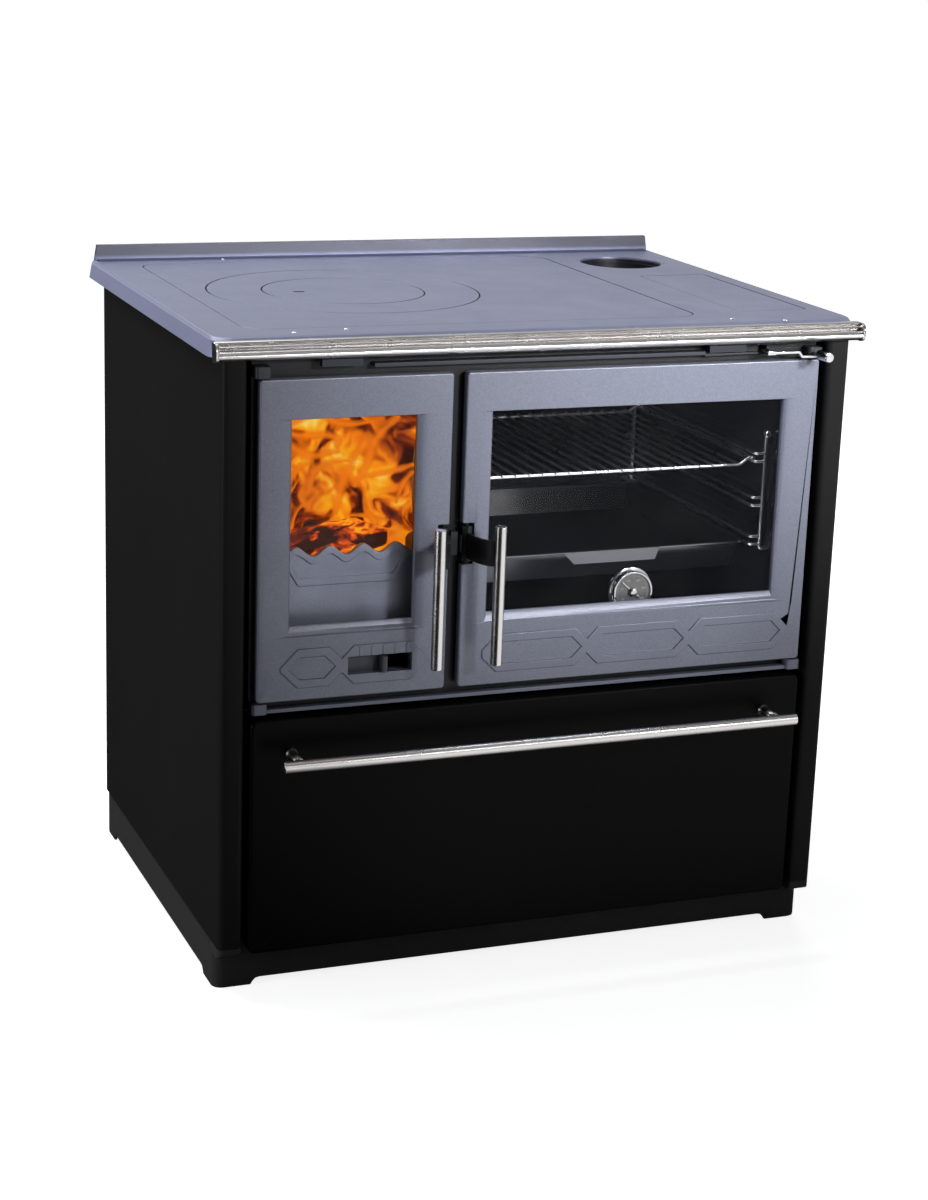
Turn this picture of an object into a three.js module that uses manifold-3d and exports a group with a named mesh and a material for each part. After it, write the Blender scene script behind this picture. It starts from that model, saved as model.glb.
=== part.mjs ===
// A free-standing wood-burning cookstove: a cast-iron cooking top over a firebox and an oven,
// with a wood drawer below, all in an enamelled sheet-steel casing on a plinth.
//
// Millimetres. +X is to the right of a person facing the stove, +Y goes into it, +Z is up.
// Every sub-part is drawn with y = 0 on the face of the doors and the columns, and the whole stove
// is then moved so that the origin lies on the floor at the centre of the footprint.

import * as THREE from 'three';
import { mergeVertices } from 'three/addons/utils/BufferGeometryUtils.js';
import Module from 'manifold-3d';

const wasm = await Module();
wasm.setup();

// ---------------------------------------------------------------- driving dimensions

const GAP = 0.3;                    // between pieces that touch

const COOKING_HEIGHT = 850;         // floor to the cooking surface
const TOP_WIDTH = 868;              // of the flat cooking surface
const TOP_DEPTH = 650;
const TOP_FLARE = 4;                // the skirt widens downwards by this much on each side
const TOP_SETBACK = 4;              // top's front edge behind the door faces
const SKIRT_HEIGHT = 24;
const SKIRT_WALL = 7;
const DECK_THICKNESS = 12;
const TOP_CORNER = 24;
const FRONT_BEVEL = 8;
const EDGE_ROUND = 3;
const SPLASH_HEIGHT = 22;
const SPLASH_THICKNESS = 8;
const PLATE_GROOVE = 1.2;           // visible joint round each lift-out plate
const PLATE_LEDGE = 12;             // width of the seat under a lift-out plate
const PLATE_THICKNESS = 7;

const HOTPLATE_LEFT = -TOP_WIDTH / 2 + 56;
const HOTPLATE_RIGHT = TOP_WIDTH / 2 - 200;
const HOTPLATE_FRONT = 60;
const HOTPLATE_BACK = TOP_DEPTH - 46;
const HOTPLATE_CORNER = 30;
const RING_X = HOTPLATE_LEFT + 214;
const RING_Y = HOTPLATE_BACK - 270;
const RING_RADIUS = 183;
const DISC_RADIUS = 109;
const RING_LEDGE = 8;
const LIFT_SLOT_OFFSET = 62;
const LIFT_SLOT_LENGTH = 16;
const LIFT_SLOT_WIDTH = 8;
const COVER_LEFT = TOP_WIDTH / 2 - 131;
const COVER_RIGHT = TOP_WIDTH / 2 - 29;
const COVER_FRONT = 86;
const COVER_BACK = TOP_DEPTH - 252;
const COVER_CORNER = 10;
const FLUE_X = TOP_WIDTH / 2 - 101;
const FLUE_Y = TOP_DEPTH - 122;
const FLUE_RADIUS = 60;             // bore for a 120 mm pipe
const FLUE_WALL = 5;
const FLUE_DEPTH = 46;
const FLUE_SIDES = 24;
const RING_SIDES = 44;

const BODY_WIDTH = TOP_WIDTH - 18;             // over the side panels
const BODY_DEPTH = TOP_DEPTH - 27;             // door faces to the back of the side panels
const PANEL_BOTTOM = 65;
const SHEET = 2;
const COLUMN_WIDTH = 32;
const COLUMN_RETURN = 34;
const COLUMN_RADIUS = 8;
const REAR_FLANGE = 22;
const BACK_SHEET = 1.5;

const PLINTH_SETBACK = 27;
const PLINTH_INSET = 1.5;
const PLINTH_WALL = 4;
const PLINTH_FLANGE = 30;
const PLINTH_CORNER = 14;
const PLINTH_ARCH = 9.5;            // height of the arches between the feet
const FOOT_LENGTH = 50;
const CAP_HEIGHT = 15;
const CAP_DEPTH = 44;

const DOOR_BOTTOM = COOKING_HEIGHT - 459;
const DOOR_TOP = COOKING_HEIGHT - 51;
const DOOR_THICKNESS = 14;
const DOOR_BEVEL = 2;
const WINDOW_TOP = DOOR_TOP - 50;
const WINDOW_BOTTOM = DOOR_BOTTOM + 96;
const WINDOW_SILL = 13;             // sloping sill under the window
const COVE_WIDTH = 21;              // hollow moulding at each side of the window
const COVE_WIDTH_NARROW = 15;       // the same beside the oven handle
const COVE_DEPTH = 5.5;
const GLASS_THICKNESS = 4;
const GLASS_LAP = 7.5;
const RETAINER_LAP = 12;
const RETAINER_THICKNESS = 3;
const SEAL_WIDTH = 6;
const SEAL_INSET = 12;              // from the door's hinge edge
const SEAL_GROOVE = 2;
const HINGE_INSET = 6;              // hinge axis from the door's edge
const HINGE_DEPTH = 5;              // hinge axis behind the door's face
const HINGE_RADIUS = 3;

const FIREBOX_DOOR_LEFT = -BODY_WIDTH / 2 + 47;
const FIREBOX_DOOR_RIGHT = FIREBOX_DOOR_LEFT + 249;
const FIREBOX_WINDOW_LEFT = FIREBOX_DOOR_LEFT + 42;
const FIREBOX_WINDOW_RIGHT = FIREBOX_DOOR_RIGHT - 45;
const OVEN_DOOR_LEFT = FIREBOX_DOOR_RIGHT + 18;
const OVEN_DOOR_RIGHT = BODY_WIDTH / 2 - 44;
const OVEN_WINDOW_LEFT = OVEN_DOOR_LEFT + 37;
const OVEN_WINDOW_RIGHT = OVEN_DOOR_RIGHT - 47;

const LINK_CENTRE = DOOR_BOTTOM + 42;            // height of the chain ornament above the floor
const LINK_HALF = 25.5;
const LINK_POCKET_HALF = 14;        // half the height of the field inside a link
const LINK_RELIEF = 2.2;
const LINK_CROSSING = 9.5;          // how far two links overlap where they cross
const LINK_TIP = 7.5;               // from a crossing to the tip of the next field
const LINK_BLUNT = 5;               // how much of the chain's end tips is cut off
const OVEN_LINK_LEFT = OVEN_DOOR_LEFT + 31;
const OVEN_LINK_RIGHT = OVEN_DOOR_RIGHT - 21;
const OVEN_LINK_COUNT = 3;
const FIREBOX_LINK_LEFT = FIREBOX_DOOR_LEFT + 29;
const FIREBOX_LINK_CROSSING = FIREBOX_LINK_LEFT + 81;
const FIREBOX_LINK_RIGHT = FIREBOX_DOOR_RIGHT - 27;

const AIR_SLOT_LEFT = FIREBOX_DOOR_LEFT + 118;
const AIR_SLOT_RIGHT = AIR_SLOT_LEFT + 85;
const AIR_SLOT_BOTTOM = LINK_CENTRE - 12.5;
const AIR_SLOT_TOP = LINK_CENTRE + 10.5;
const AIR_SLIDE_THICKNESS = 3;
const AIR_SLIDE_LENGTH = 92;
const AIR_TAB_X = AIR_SLOT_LEFT + 47.3;
const AIR_OPEN_TRAVEL = 31;
const AIR_SHUT_TRAVEL = 33;
const AIR_NOTCH_PITCH = 15.6;
const AIR_TAB_EDGE = 3.5;           // from the tab to the shutter's right edge

const HANDLE_PIVOT_INSET = 7;       // pivot from the free edge of the door
const HANDLE_PIVOT_DEPTH = 5;
const HANDLE_SIDE = 24;             // rod beside the pivot
const HANDLE_FORWARD = 56;          // rod in front of the pivot
const KNUCKLE_RADIUS = 7.2;
const KNUCKLE_BOTTOM = DOOR_BOTTOM + 166;
const KNUCKLE_TOP = KNUCKLE_BOTTOM + 46;
const HANDLE_PIN_RADIUS = 2.5;
const STRAP_THICKNESS = 4.5;
const STRAP_HEIGHT = 33;
const STRAP_BOTTOM = KNUCKLE_BOTTOM + 5;
const ROD_RADIUS = 7.5;
const ROD_BOTTOM = DOOR_BOTTOM + 43;
const ROD_TOP = ROD_BOTTOM + 180;

const FRAME_FRONT = 18;             // front face of the cast frame behind the doors
const FRAME_THICKNESS = 8;
const FRAME_HALF = BODY_WIDTH / 2 - 41;
const FRAME_BOTTOM = DOOR_BOTTOM - 15;
const FRAME_TOP = DOOR_TOP + 22;
const LIP_THICKNESS = 5;
const LIP_FRONT = 4;
const TOP_LIP_LEFT = -BODY_WIDTH / 2 + 193;
const TOP_LIP_RIGHT = BODY_WIDTH / 2 - 208;
const TOP_LIP_BOTTOM = DOOR_TOP + 10;
const LUG_WIDTH = 20;
const CAVITY_BOTTOM = DOOR_BOTTOM + 11;          // of the firebox and the oven openings
const CAVITY_TOP = DOOR_TOP - 29;
const FIREBOX_LEFT = FIREBOX_DOOR_LEFT + 26;
const FIREBOX_RIGHT = FIREBOX_DOOR_RIGHT - 25;
const FIREBOX_BACK = BODY_DEPTH - 187;
const FIREBOX_WALL = 4;
const OVEN_LEFT = OVEN_DOOR_LEFT + 25;
const OVEN_RIGHT = OVEN_DOOR_RIGHT - 19;
const OVEN_BACK = BODY_DEPTH - 63;
const OVEN_WALL = 3;
const SMOKE_FLOOR = CAVITY_TOP + 12;            // underside of the smoke channel over the oven
const SMOKE_WALL = 3;
const SHIELD_BOTTOM = FRAME_BOTTOM - 5;

const GRATE_BOTTOM = CAVITY_BOTTOM + 62;
const GRATE_THICKNESS = 12;
const GRATE_SLOTS = 8;
const LINING_THICKNESS = 12;
const LINING_FRONT = 46;
const LINING_TOP = CAVITY_TOP - 2;
const GUARD_DEPTH = 34;
const GUARD_THICKNESS = 6;
const GUARD_BOTTOM = GRATE_BOTTOM;
const GUARD_TOP = GUARD_BOTTOM + 109.5;            // mean height of the wavy edge
const GUARD_WAVE = 6.3;
const GUARD_WAVE_LENGTH = 44;
const GUARD_BAND = 10;              // width of the raised border
const GUARD_FIELD = 31;             // height of the field inside the border

const GUIDE_FRONT = 84;
const GUIDE_BACK = OVEN_BACK - 60;
const GUIDE_INSET = 6;              // of the uprights from the oven walls
const GUIDE_REACH = 15;             // of the rails from their uprights
const GUIDE_WIRE = 2;
const GUIDE_UPRIGHT = 2.6;
const GUIDE_LEVELS = [134, 188, 249].map((rise) => CAVITY_BOTTOM + rise);
const GUIDE_PAIR = 11;
const SHELF_WIRE = 1.6;
const SHELF_FRAME = 2.2;
const SHELF_COUNT = 20;
const SHELF_DROP = 9;
const SHELF_RISE = 13;              // length of the bend at each end of a cross rod
const SHELF_FRONT = 92;
const SHELF_BACK = GUIDE_BACK - 50;
const TRAY_DEPTH = 36;
const TRAY_SHEET = 1.5;

const DRAWER_HALF = BODY_WIDTH / 2 - 40;
const DRAWER_BOTTOM = 54;
const DRAWER_TOP = DOOR_BOTTOM - 23;
const DRAWER_FOLD = 20;
const DRAWER_CORNER = 9;
const DRAWER_BOX_HALF = DRAWER_HALF - 19;
const DRAWER_BOX_BACK = BODY_DEPTH - 61;
const DRAWER_BOX_TOP = DRAWER_TOP - 86;
const RUNNER_TOP = 78;
const BAR_HALF = DRAWER_HALF - 28;
const BAR_RADIUS = 8;
const BAR_HEIGHT = DRAWER_TOP - 46;
const BAR_FORWARD = 48;
const POST_X = BAR_HALF - 25;
const POST_RADIUS = 7;

const RAIL_BOTTOM = COOKING_HEIGHT - 26.5;
const RAIL_FORWARD = 17;
const RAIL_HEIGHT = 24;
const RAIL_CAP = 3;
const TAB_WIDTH = 52;
const TAB_LEFT_X = -BODY_WIDTH / 2 + 150;
const TAB_RIGHT_X = BODY_WIDTH / 2 - 180;
const TAB_BOTTOM = COOKING_HEIGHT - 37;

const DAMPER_ROD_X = FLUE_X - 28;
const DAMPER_ROD_Z = COOKING_HEIGHT - 39;
const DAMPER_ROD_RADIUS = 3.5;
const DAMPER_KNOB_X = FLUE_X + 40;
const DAMPER_KNOB_Z = COOKING_HEIGHT - 42;
const DAMPER_KNOB_RADIUS = 6.5;
const DAMPER_KNOB_FRONT = 40;
const DAMPER_PLATE = 124;
const DAMPER_PLATE_TOP = COOKING_HEIGHT - 50;

const DIAL_X = (OVEN_WINDOW_LEFT + OVEN_WINDOW_RIGHT) / 2 + 9;
const DIAL_Z = WINDOW_BOTTOM + 8;
const DIAL_RADIUS = 28;
const DIAL_FLANGE = 31;
const DIAL_DEPTH = 13;
const DIAL_FRONT = 17.9;
const DIAL_ANGLE = -62;             // of the hand from upright

// ---------------------------------------------------------------- derived places

const HANDLE_REACH = HANDLE_FORWARD - HANDLE_PIVOT_DEPTH + ROD_RADIUS;
const TOP_BACK = TOP_SETBACK + TOP_DEPTH;
const CENTRE_SHIFT = (HANDLE_REACH - TOP_BACK) / 2;
const DECK_BOTTOM = COOKING_HEIGHT - DECK_THICKNESS;
const SKIRT_BOTTOM = COOKING_HEIGHT - SKIRT_HEIGHT;
const PLATE_SEAT = COOKING_HEIGHT - PLATE_THICKNESS;
const BODY_HALF = BODY_WIDTH / 2;
const PLINTH_HALF = BODY_HALF - PLINTH_INSET;
const PLINTH_TOP = PANEL_BOTTOM - GAP;
const COLUMN_INNER = BODY_HALF - COLUMN_WIDTH;
const FRAME_BACK = FRAME_FRONT + FRAME_THICKNESS;
const BOX_FRONT = FRAME_BACK + GAP;
const GLASS_FRONT = DOOR_THICKNESS - GLASS_THICKNESS - GAP;
const FIREBOX_PIVOT_X = FIREBOX_DOOR_RIGHT - HANDLE_PIVOT_INSET;
const OVEN_PIVOT_X = OVEN_DOOR_LEFT + HANDLE_PIVOT_INSET;
const SEAL_BOTTOM = DOOR_BOTTOM + 6;
const SEAL_TOP = DOOR_TOP - 7;
const FIREBOX_SEAL = [
  FIREBOX_DOOR_LEFT + SEAL_INSET, FIREBOX_PIVOT_X - KNUCKLE_RADIUS - 2.5, SEAL_BOTTOM, SEAL_TOP];
const OVEN_SEAL = [
  OVEN_PIVOT_X + KNUCKLE_RADIUS + 2.5, OVEN_DOOR_RIGHT - SEAL_INSET + 1, SEAL_BOTTOM, SEAL_TOP];
const MULLION_X = (FIREBOX_DOOR_RIGHT + OVEN_DOOR_LEFT) / 2;
const RAIL_HALF = TOP_WIDTH / 2 + TOP_FLARE - RAIL_CAP - 1;

// ---------------------------------------------------------------- finishes

const finish = (color, roughness, metalness, extra = {}) =>
  () => new THREE.MeshStandardMaterial({ color, roughness, metalness, ...extra });

const castIron = finish(0x80838f, 0.55, 0.5);
const topIron = finish(0x8f93a6, 0.5, 0.55);
const blackEnamel = finish(0x121212, 0.28, 0.1);
const sideEnamel = finish(0x232324, 0.35, 0.1);
const plinthPaint = finish(0x2c2c2c, 0.7, 0.0);
const stainless = finish(0xc9c6c2, 0.25, 1.0);
const chrome = finish(0xd8d8da, 0.12, 1.0);
const darkSteel = finish(0x3a3b3f, 0.6, 0.7);
const blackIron = finish(0x17171a, 0.5, 0.4);
const ropeSeal = finish(0x6d6a64, 0.95, 0.0);
const clearGlass = finish(0x99a2a8, 0.05, 0.0, { transparent: true, opacity: 0.3 });
const ovenEnamel = finish(0x0c0c0f, 0.2, 0.1);

// ---------------------------------------------------------------- solids

function toSolid(geometry) {
  geometry.deleteAttribute('normal');
  geometry.deleteAttribute('uv');
  const merged = mergeVertices(geometry, 1e-4);
  const corners = merged.index.array;
  const kept = [];
  for (let i = 0; i < corners.length; i += 3) {
    const [a, b, c] = [corners[i], corners[i + 1], corners[i + 2]];
    if (a !== b && b !== c && c !== a) kept.push(a, b, c);
  }
  return new wasm.Manifold(new wasm.Mesh({
    numProp: 3,
    vertProperties: merged.attributes.position.array,
    triVerts: new Uint32Array(kept),
  }));
}

function toMesh(name, solid, material) {
  const result = solid.getMesh();
  const geometry = new THREE.BufferGeometry();
  geometry.setAttribute('position', new THREE.BufferAttribute(result.vertProperties, 3));
  geometry.setIndex(new THREE.BufferAttribute(result.triVerts, 1));
  geometry.computeVertexNormals();
  const mesh = new THREE.Mesh(geometry, material());
  mesh.name = name;
  return mesh;
}

const join = (first, ...others) => others.reduce((whole, piece) => whole.add(piece), first);
const cut = (first, ...others) => others.reduce((whole, piece) => whole.subtract(piece), first);

function block(x0, x1, y0, y1, z0, z1) {
  const geometry = new THREE.BoxGeometry(x1 - x0, y1 - y0, z1 - z0);
  geometry.translate((x0 + x1) / 2, (y0 + y1) / 2, (z0 + z1) / 2);
  return toSolid(geometry);
}

// Extrusions: a shape in (x, y) raised along z, in (x, z) along y, and in (y, z) along x.
const AXES = {
  z: new THREE.Matrix4(),
  y: new THREE.Matrix4().makeBasis(
    new THREE.Vector3(1, 0, 0), new THREE.Vector3(0, 0, 1), new THREE.Vector3(0, -1, 0)),
  x: new THREE.Matrix4().makeBasis(
    new THREE.Vector3(0, 1, 0), new THREE.Vector3(0, 0, 1), new THREE.Vector3(1, 0, 0)),
};

function extrude(axis, shape, from, to, bevel = 0, bevelSegments = 2) {
  const geometry = new THREE.ExtrudeGeometry(shape, {
    depth: to - from - 2 * bevel,
    bevelEnabled: bevel > 0,
    bevelSize: bevel,
    bevelThickness: bevel,
    bevelOffset: -bevel,
    bevelSegments,
  });
  geometry.translate(0, 0, axis === 'y' ? bevel - to : from + bevel);
  geometry.applyMatrix4(AXES[axis]);
  return toSolid(geometry);
}

// A body of revolution about an axis through (x, y, z); the profile is [radius, height] pairs.
function turned(axis, [x, y, z], profile, segments = 24) {
  const points = profile.map(([radius, height]) => new THREE.Vector2(radius, height));
  const geometry = new THREE.LatheGeometry(points, segments);
  if (axis === 'z') geometry.rotateX(Math.PI / 2);
  if (axis === 'x') geometry.rotateZ(-Math.PI / 2);
  geometry.translate(x, y, z);
  return toSolid(geometry);
}

const pin = (axis, centre, radius, length, segments = 16) =>
  turned(axis, centre, [[0, 0], [radius, 0], [radius, length], [0, length]], segments);

// A solid through a stack of outlines that have the same number of points, each at its own z.
function loft(sections) {
  const count = sections[0].points.length;
  const positions = [];
  for (const { points, z } of sections) {
    for (const point of points) positions.push(point.x, point.y, z);
  }
  const faces = [];
  for (let level = 0; level < sections.length - 1; level += 1) {
    for (let i = 0; i < count; i += 1) {
      const a = level * count + i;
      const b = level * count + (i + 1) % count;
      faces.push(a, b, b + count, a, b + count, a + count);
    }
  }
  const caps = THREE.ShapeUtils.triangulateShape(sections[0].points, []);
  const last = (sections.length - 1) * count;
  for (const [a, b, c] of caps) {
    faces.push(c, b, a);
    faces.push(last + a, last + b, last + c);
  }
  const geometry = new THREE.BufferGeometry();
  geometry.setAttribute('position', new THREE.Float32BufferAttribute(positions, 3));
  geometry.setIndex(faces);
  return toSolid(geometry);
}

const mirrored = (solid) => solid.mirror([1, 0, 0]);

// ---------------------------------------------------------------- outlines

// A rectangle with round corners, counter-clockwise; corners is one radius or
// [low-left, low-right, high-right, high-left].
function roundedRect(x0, x1, y0, y1, corners, steps = 4) {
  const [a, b, c, d] = Array.isArray(corners) ? corners : [corners, corners, corners, corners];
  const centres = [
    [x0 + a, y0 + a, a, Math.PI], [x1 - b, y0 + b, b, 1.5 * Math.PI],
    [x1 - c, y1 - c, c, 0], [x0 + d, y1 - d, d, 0.5 * Math.PI],
  ];
  const points = [];
  for (const [cx, cy, radius, start] of centres) {
    for (let i = 0; i <= steps; i += 1) {
      const angle = start + (i / steps) * 0.5 * Math.PI;
      points.push(new THREE.Vector2(cx + radius * Math.cos(angle), cy + radius * Math.sin(angle)));
    }
  }
  return points;
}

const shapeOf = (points) => new THREE.Shape(points);
const polygon = (pairs) => new THREE.Shape(pairs.map(([x, y]) => new THREE.Vector2(x, y)));

// A frame: one rounded rectangle with another cut from it.
function frameShape(outer, inner) {
  const shape = shapeOf(outer);
  shape.holes.push(new THREE.Path(inner));
  return shape;
}

// The path of a folded sheet's face with an arc at each fold.
function foldedPath(points, radius, steps = 3) {
  const path = [points[0]];
  for (let i = 1; i < points.length - 1; i += 1) {
    const before = points[i - 1].clone().sub(points[i]).normalize();
    const after = points[i + 1].clone().sub(points[i]).normalize();
    const half = Math.acos(THREE.MathUtils.clamp(before.dot(after), -1, 1)) / 2;
    const reach = radius / Math.tan(half);
    const centre = before.clone().add(after).normalize().multiplyScalar(radius / Math.sin(half));
    centre.add(points[i]);
    const start = points[i].clone().addScaledVector(before, reach).sub(centre);
    const end = points[i].clone().addScaledVector(after, reach).sub(centre);
    const sweep = Math.atan2(start.cross(end), start.dot(end));
    for (let k = 0; k <= steps; k += 1) {
      path.push(start.clone().rotateAround(new THREE.Vector2(), (sweep * k) / steps).add(centre));
    }
  }
  path.push(points[points.length - 1]);
  return path;
}

// The section of a sheet folded along these corners of its outer face; the sheet lies to their left.
function foldedSheet(corners, radius, thickness) {
  const outer = corners.map(([x, y]) => new THREE.Vector2(x, y));
  const normals = outer.slice(1).map((point, i) => {
    const along = point.clone().sub(outer[i]).normalize();
    return new THREE.Vector2(-along.y, along.x);
  });
  const inner = outer.map((point, i) => {
    const a = normals[Math.max(i - 1, 0)];
    const b = normals[Math.min(i, normals.length - 1)];
    const mitre = a.clone().add(b);
    return point.clone().addScaledVector(mitre, (2 * thickness) / mitre.lengthSq());
  });
  const innerRadius = Math.max(radius - thickness, 0.2);
  return shapeOf([...foldedPath(outer, radius), ...foldedPath(inner, innerRadius).reverse()]);
}

// ---------------------------------------------------------------- plinth and casing

function plinth() {
  const back = BODY_DEPTH - SHEET;
  const ring = (inset) => roundedRect(
    -PLINTH_HALF + inset, PLINTH_HALF - inset, PLINTH_SETBACK + inset, back - inset,
    Math.max(PLINTH_CORNER - inset, 2));
  const underFlange = PLINTH_TOP - PLINTH_WALL;
  const arch = (from, to) => {
    const run = PLINTH_ARCH;
    return polygon([
      [from, -1], [from, 0], [from + 0.35 * run, 0.55 * PLINTH_ARCH],
      [from + 0.7 * run, 0.88 * PLINTH_ARCH], [from + 1.3 * run, PLINTH_ARCH],
      [to - 1.3 * run, PLINTH_ARCH], [to - 0.7 * run, 0.88 * PLINTH_ARCH],
      [to - 0.35 * run, 0.55 * PLINTH_ARCH], [to, 0], [to, -1],
    ]);
  };
  const foot = PLINTH_HALF - FOOT_LENGTH;
  return cut(
    extrude('z', shapeOf(ring(0)), 0, PLINTH_TOP),
    extrude('z', shapeOf(ring(PLINTH_WALL)), -1, underFlange),
    extrude('z', shapeOf(ring(PLINTH_FLANGE)), underFlange - 1, PLINTH_TOP + 1),
    extrude('y', arch(-foot, foot), PLINTH_SETBACK - 1, back + 1),
    extrude('x', arch(PLINTH_SETBACK + FOOT_LENGTH, back - FOOT_LENGTH), -BODY_HALF, BODY_HALF),
  );
}

function floorPlate() {
  const half = BODY_HALF - SHEET - 3;
  return block(-half, half, COLUMN_RETURN + 1, BODY_DEPTH - SHEET - 3, PANEL_BOTTOM, PANEL_BOTTOM + 2.5);
}

// The foot of a column: a moulded block that curves back to the plinth.
function cornerCap() {
  const top = PANEL_BOTTOM - GAP;
  const low = top - CAP_HEIGHT;
  const side = polygon([
    [0, top], [0, top - 0.4 * CAP_HEIGHT], [3, top - 0.75 * CAP_HEIGHT], [9, low],
    [CAP_DEPTH, low], [CAP_DEPTH, top],
  ]);
  const plan = shapeOf(roundedRect(
    COLUMN_INNER + 2, BODY_HALF, 0, CAP_DEPTH + 20, [2, COLUMN_RADIUS, 2, 2], 3));
  const behind = block(
    COLUMN_INNER - 10, PLINTH_HALF + GAP, PLINTH_SETBACK - GAP, CAP_DEPTH + 1, low - 1, top + 1);
  return cut(
    extrude('x', side, COLUMN_INNER, BODY_HALF).intersect(extrude('z', plan, low - 1, top + 1)),
    behind);
}

function sidePanel() {
  const section = foldedSheet([
    [COLUMN_INNER, COLUMN_RETURN], [COLUMN_INNER, 0], [BODY_HALF, 0],
    [BODY_HALF, BODY_DEPTH], [BODY_HALF - REAR_FLANGE, BODY_DEPTH],
  ], COLUMN_RADIUS, SHEET);
  const panel = extrude('z', section, PANEL_BOTTOM, DECK_BOTTOM - GAP);
  const underRail = block(
    COLUMN_INNER - 1, BODY_HALF + 1, -1, COLUMN_RETURN + 1, RAIL_BOTTOM - GAP, DECK_BOTTOM);
  return panel.subtract(underRail);
}

// The rear wall, with two rows of slots and pressed stiffening beads.
function backPanel() {
  const half = BODY_HALF - SHEET - COLUMN_RADIUS;
  const back = BODY_DEPTH - SHEET - GAP;
  const bottom = PANEL_BOTTOM + 3;
  const top = DECK_BOTTOM - GAP;
  let panel = block(-half, half, back - BACK_SHEET, back, bottom, top);
  for (const height of [0.28, 0.5, 0.72]) {
    const z = bottom + height * (top - bottom);
    const bead = shapeOf(roundedRect(-half + 60, half - 60, z - 9, z + 9, 8.5, 2));
    panel = panel.add(extrude('y', bead, back - 0.5, back + 2));
  }
  for (const z of [bottom + 60, top - 60]) {
    for (let i = -2; i <= 2; i += 1) {
      const slot = shapeOf(roundedRect(i * 130 - 38, i * 130 + 38, z - 4, z + 4, 3, 1));
      panel = panel.subtract(extrude('y', slot, back - 10, back + 10));
    }
  }
  return panel;
}

// ---------------------------------------------------------------- cooking top

const hotplateOutline = (grow) => roundedRect(
  HOTPLATE_LEFT - grow, HOTPLATE_RIGHT + grow, HOTPLATE_FRONT - grow, HOTPLATE_BACK + grow,
  HOTPLATE_CORNER + grow, 5);
const coverOutline = (grow) => roundedRect(
  COVER_LEFT - grow, COVER_RIGHT + grow, COVER_FRONT - grow, COVER_BACK + grow,
  Math.max(COVER_CORNER + grow, 1), 3);

function topFrame() {
  const half = TOP_WIDTH / 2;
  const ring = (grow, bevel) => roundedRect(
    -half - grow, half + grow, TOP_SETBACK + bevel, TOP_BACK, [TOP_CORNER, TOP_CORNER, 5, 5], 5);
  const shoulder = COOKING_HEIGHT - EDGE_ROUND;
  const casting = loft([
    { points: ring(TOP_FLARE, 0), z: SKIRT_BOTTOM },
    { points: ring(0.5, 0), z: shoulder - 1.5 },
    { points: ring(-EDGE_ROUND / 3, FRONT_BEVEL / 2), z: COOKING_HEIGHT - 1 },
    { points: ring(-EDGE_ROUND, FRONT_BEVEL), z: COOKING_HEIGHT },
  ]);
  const hollow = extrude('z', shapeOf(roundedRect(
    -half + SKIRT_WALL - TOP_FLARE, half - SKIRT_WALL + TOP_FLARE,
    TOP_SETBACK + SKIRT_WALL, TOP_BACK - SKIRT_WALL, [16, 16, 3, 3])), SKIRT_BOTTOM - 1, DECK_BOTTOM);
  const splash = polygon([
    [-half + 3, COOKING_HEIGHT - 3], [half - 3, COOKING_HEIGHT - 3],
    [half - 7, COOKING_HEIGHT + SPLASH_HEIGHT], [-half + 7, COOKING_HEIGHT + SPLASH_HEIGHT],
  ]);
  const splashFront = TOP_BACK - SPLASH_THICKNESS;
  const cove = polygon([
    [splashFront - 5, COOKING_HEIGHT - 1], [splashFront + 1, COOKING_HEIGHT - 1],
    [splashFront + 1, COOKING_HEIGHT + 5], [splashFront - 1.2, COOKING_HEIGHT + 1.8],
    [splashFront - 5, COOKING_HEIGHT],
  ]);
  const tab = (x) => join(
    block(x - TAB_WIDTH / 2, x + TAB_WIDTH / 2, TOP_SETBACK, TOP_SETBACK + 5, TAB_BOTTOM, SKIRT_BOTTOM + 2),
    block(x - TAB_WIDTH / 2, x + TAB_WIDTH / 2, -2, TOP_SETBACK + 1, TAB_BOTTOM, RAIL_BOTTOM - 2 * GAP - 1));
  const seat = (outline) => join(
    extrude('z', shapeOf(outline(PLATE_GROOVE)), PLATE_SEAT - GAP, COOKING_HEIGHT + 1),
    extrude('z', shapeOf(outline(-PLATE_LEDGE)), DECK_BOTTOM - 1, COOKING_HEIGHT));
  return cut(
    join(casting.subtract(hollow), extrude('y', splash, splashFront, TOP_BACK),
      extrude('x', cove, -half + 8, half - 8), tab(TAB_LEFT_X), tab(TAB_RIGHT_X)),
    seat(hotplateOutline), seat(coverOutline),
    pin('z', [FLUE_X, FLUE_Y, DECK_BOTTOM - 1], FLUE_RADIUS + FLUE_WALL + GAP,
      DECK_THICKNESS + 2, FLUE_SIDES),
  );
}

function hotplate() {
  const boss = COOKING_HEIGHT - DECK_THICKNESS + 2;
  return cut(
    join(extrude('z', shapeOf(hotplateOutline(0)), PLATE_SEAT, COOKING_HEIGHT),
      extrude('z', shapeOf(hotplateOutline(-PLATE_LEDGE - 2)), boss, PLATE_SEAT + 1)),
    pin('z', [RING_X, RING_Y, PLATE_SEAT - GAP], RING_RADIUS + PLATE_GROOVE, 20, RING_SIDES),
    pin('z', [RING_X, RING_Y, boss - 1], RING_RADIUS - RING_LEDGE, 40, RING_SIDES),
  );
}

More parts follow.
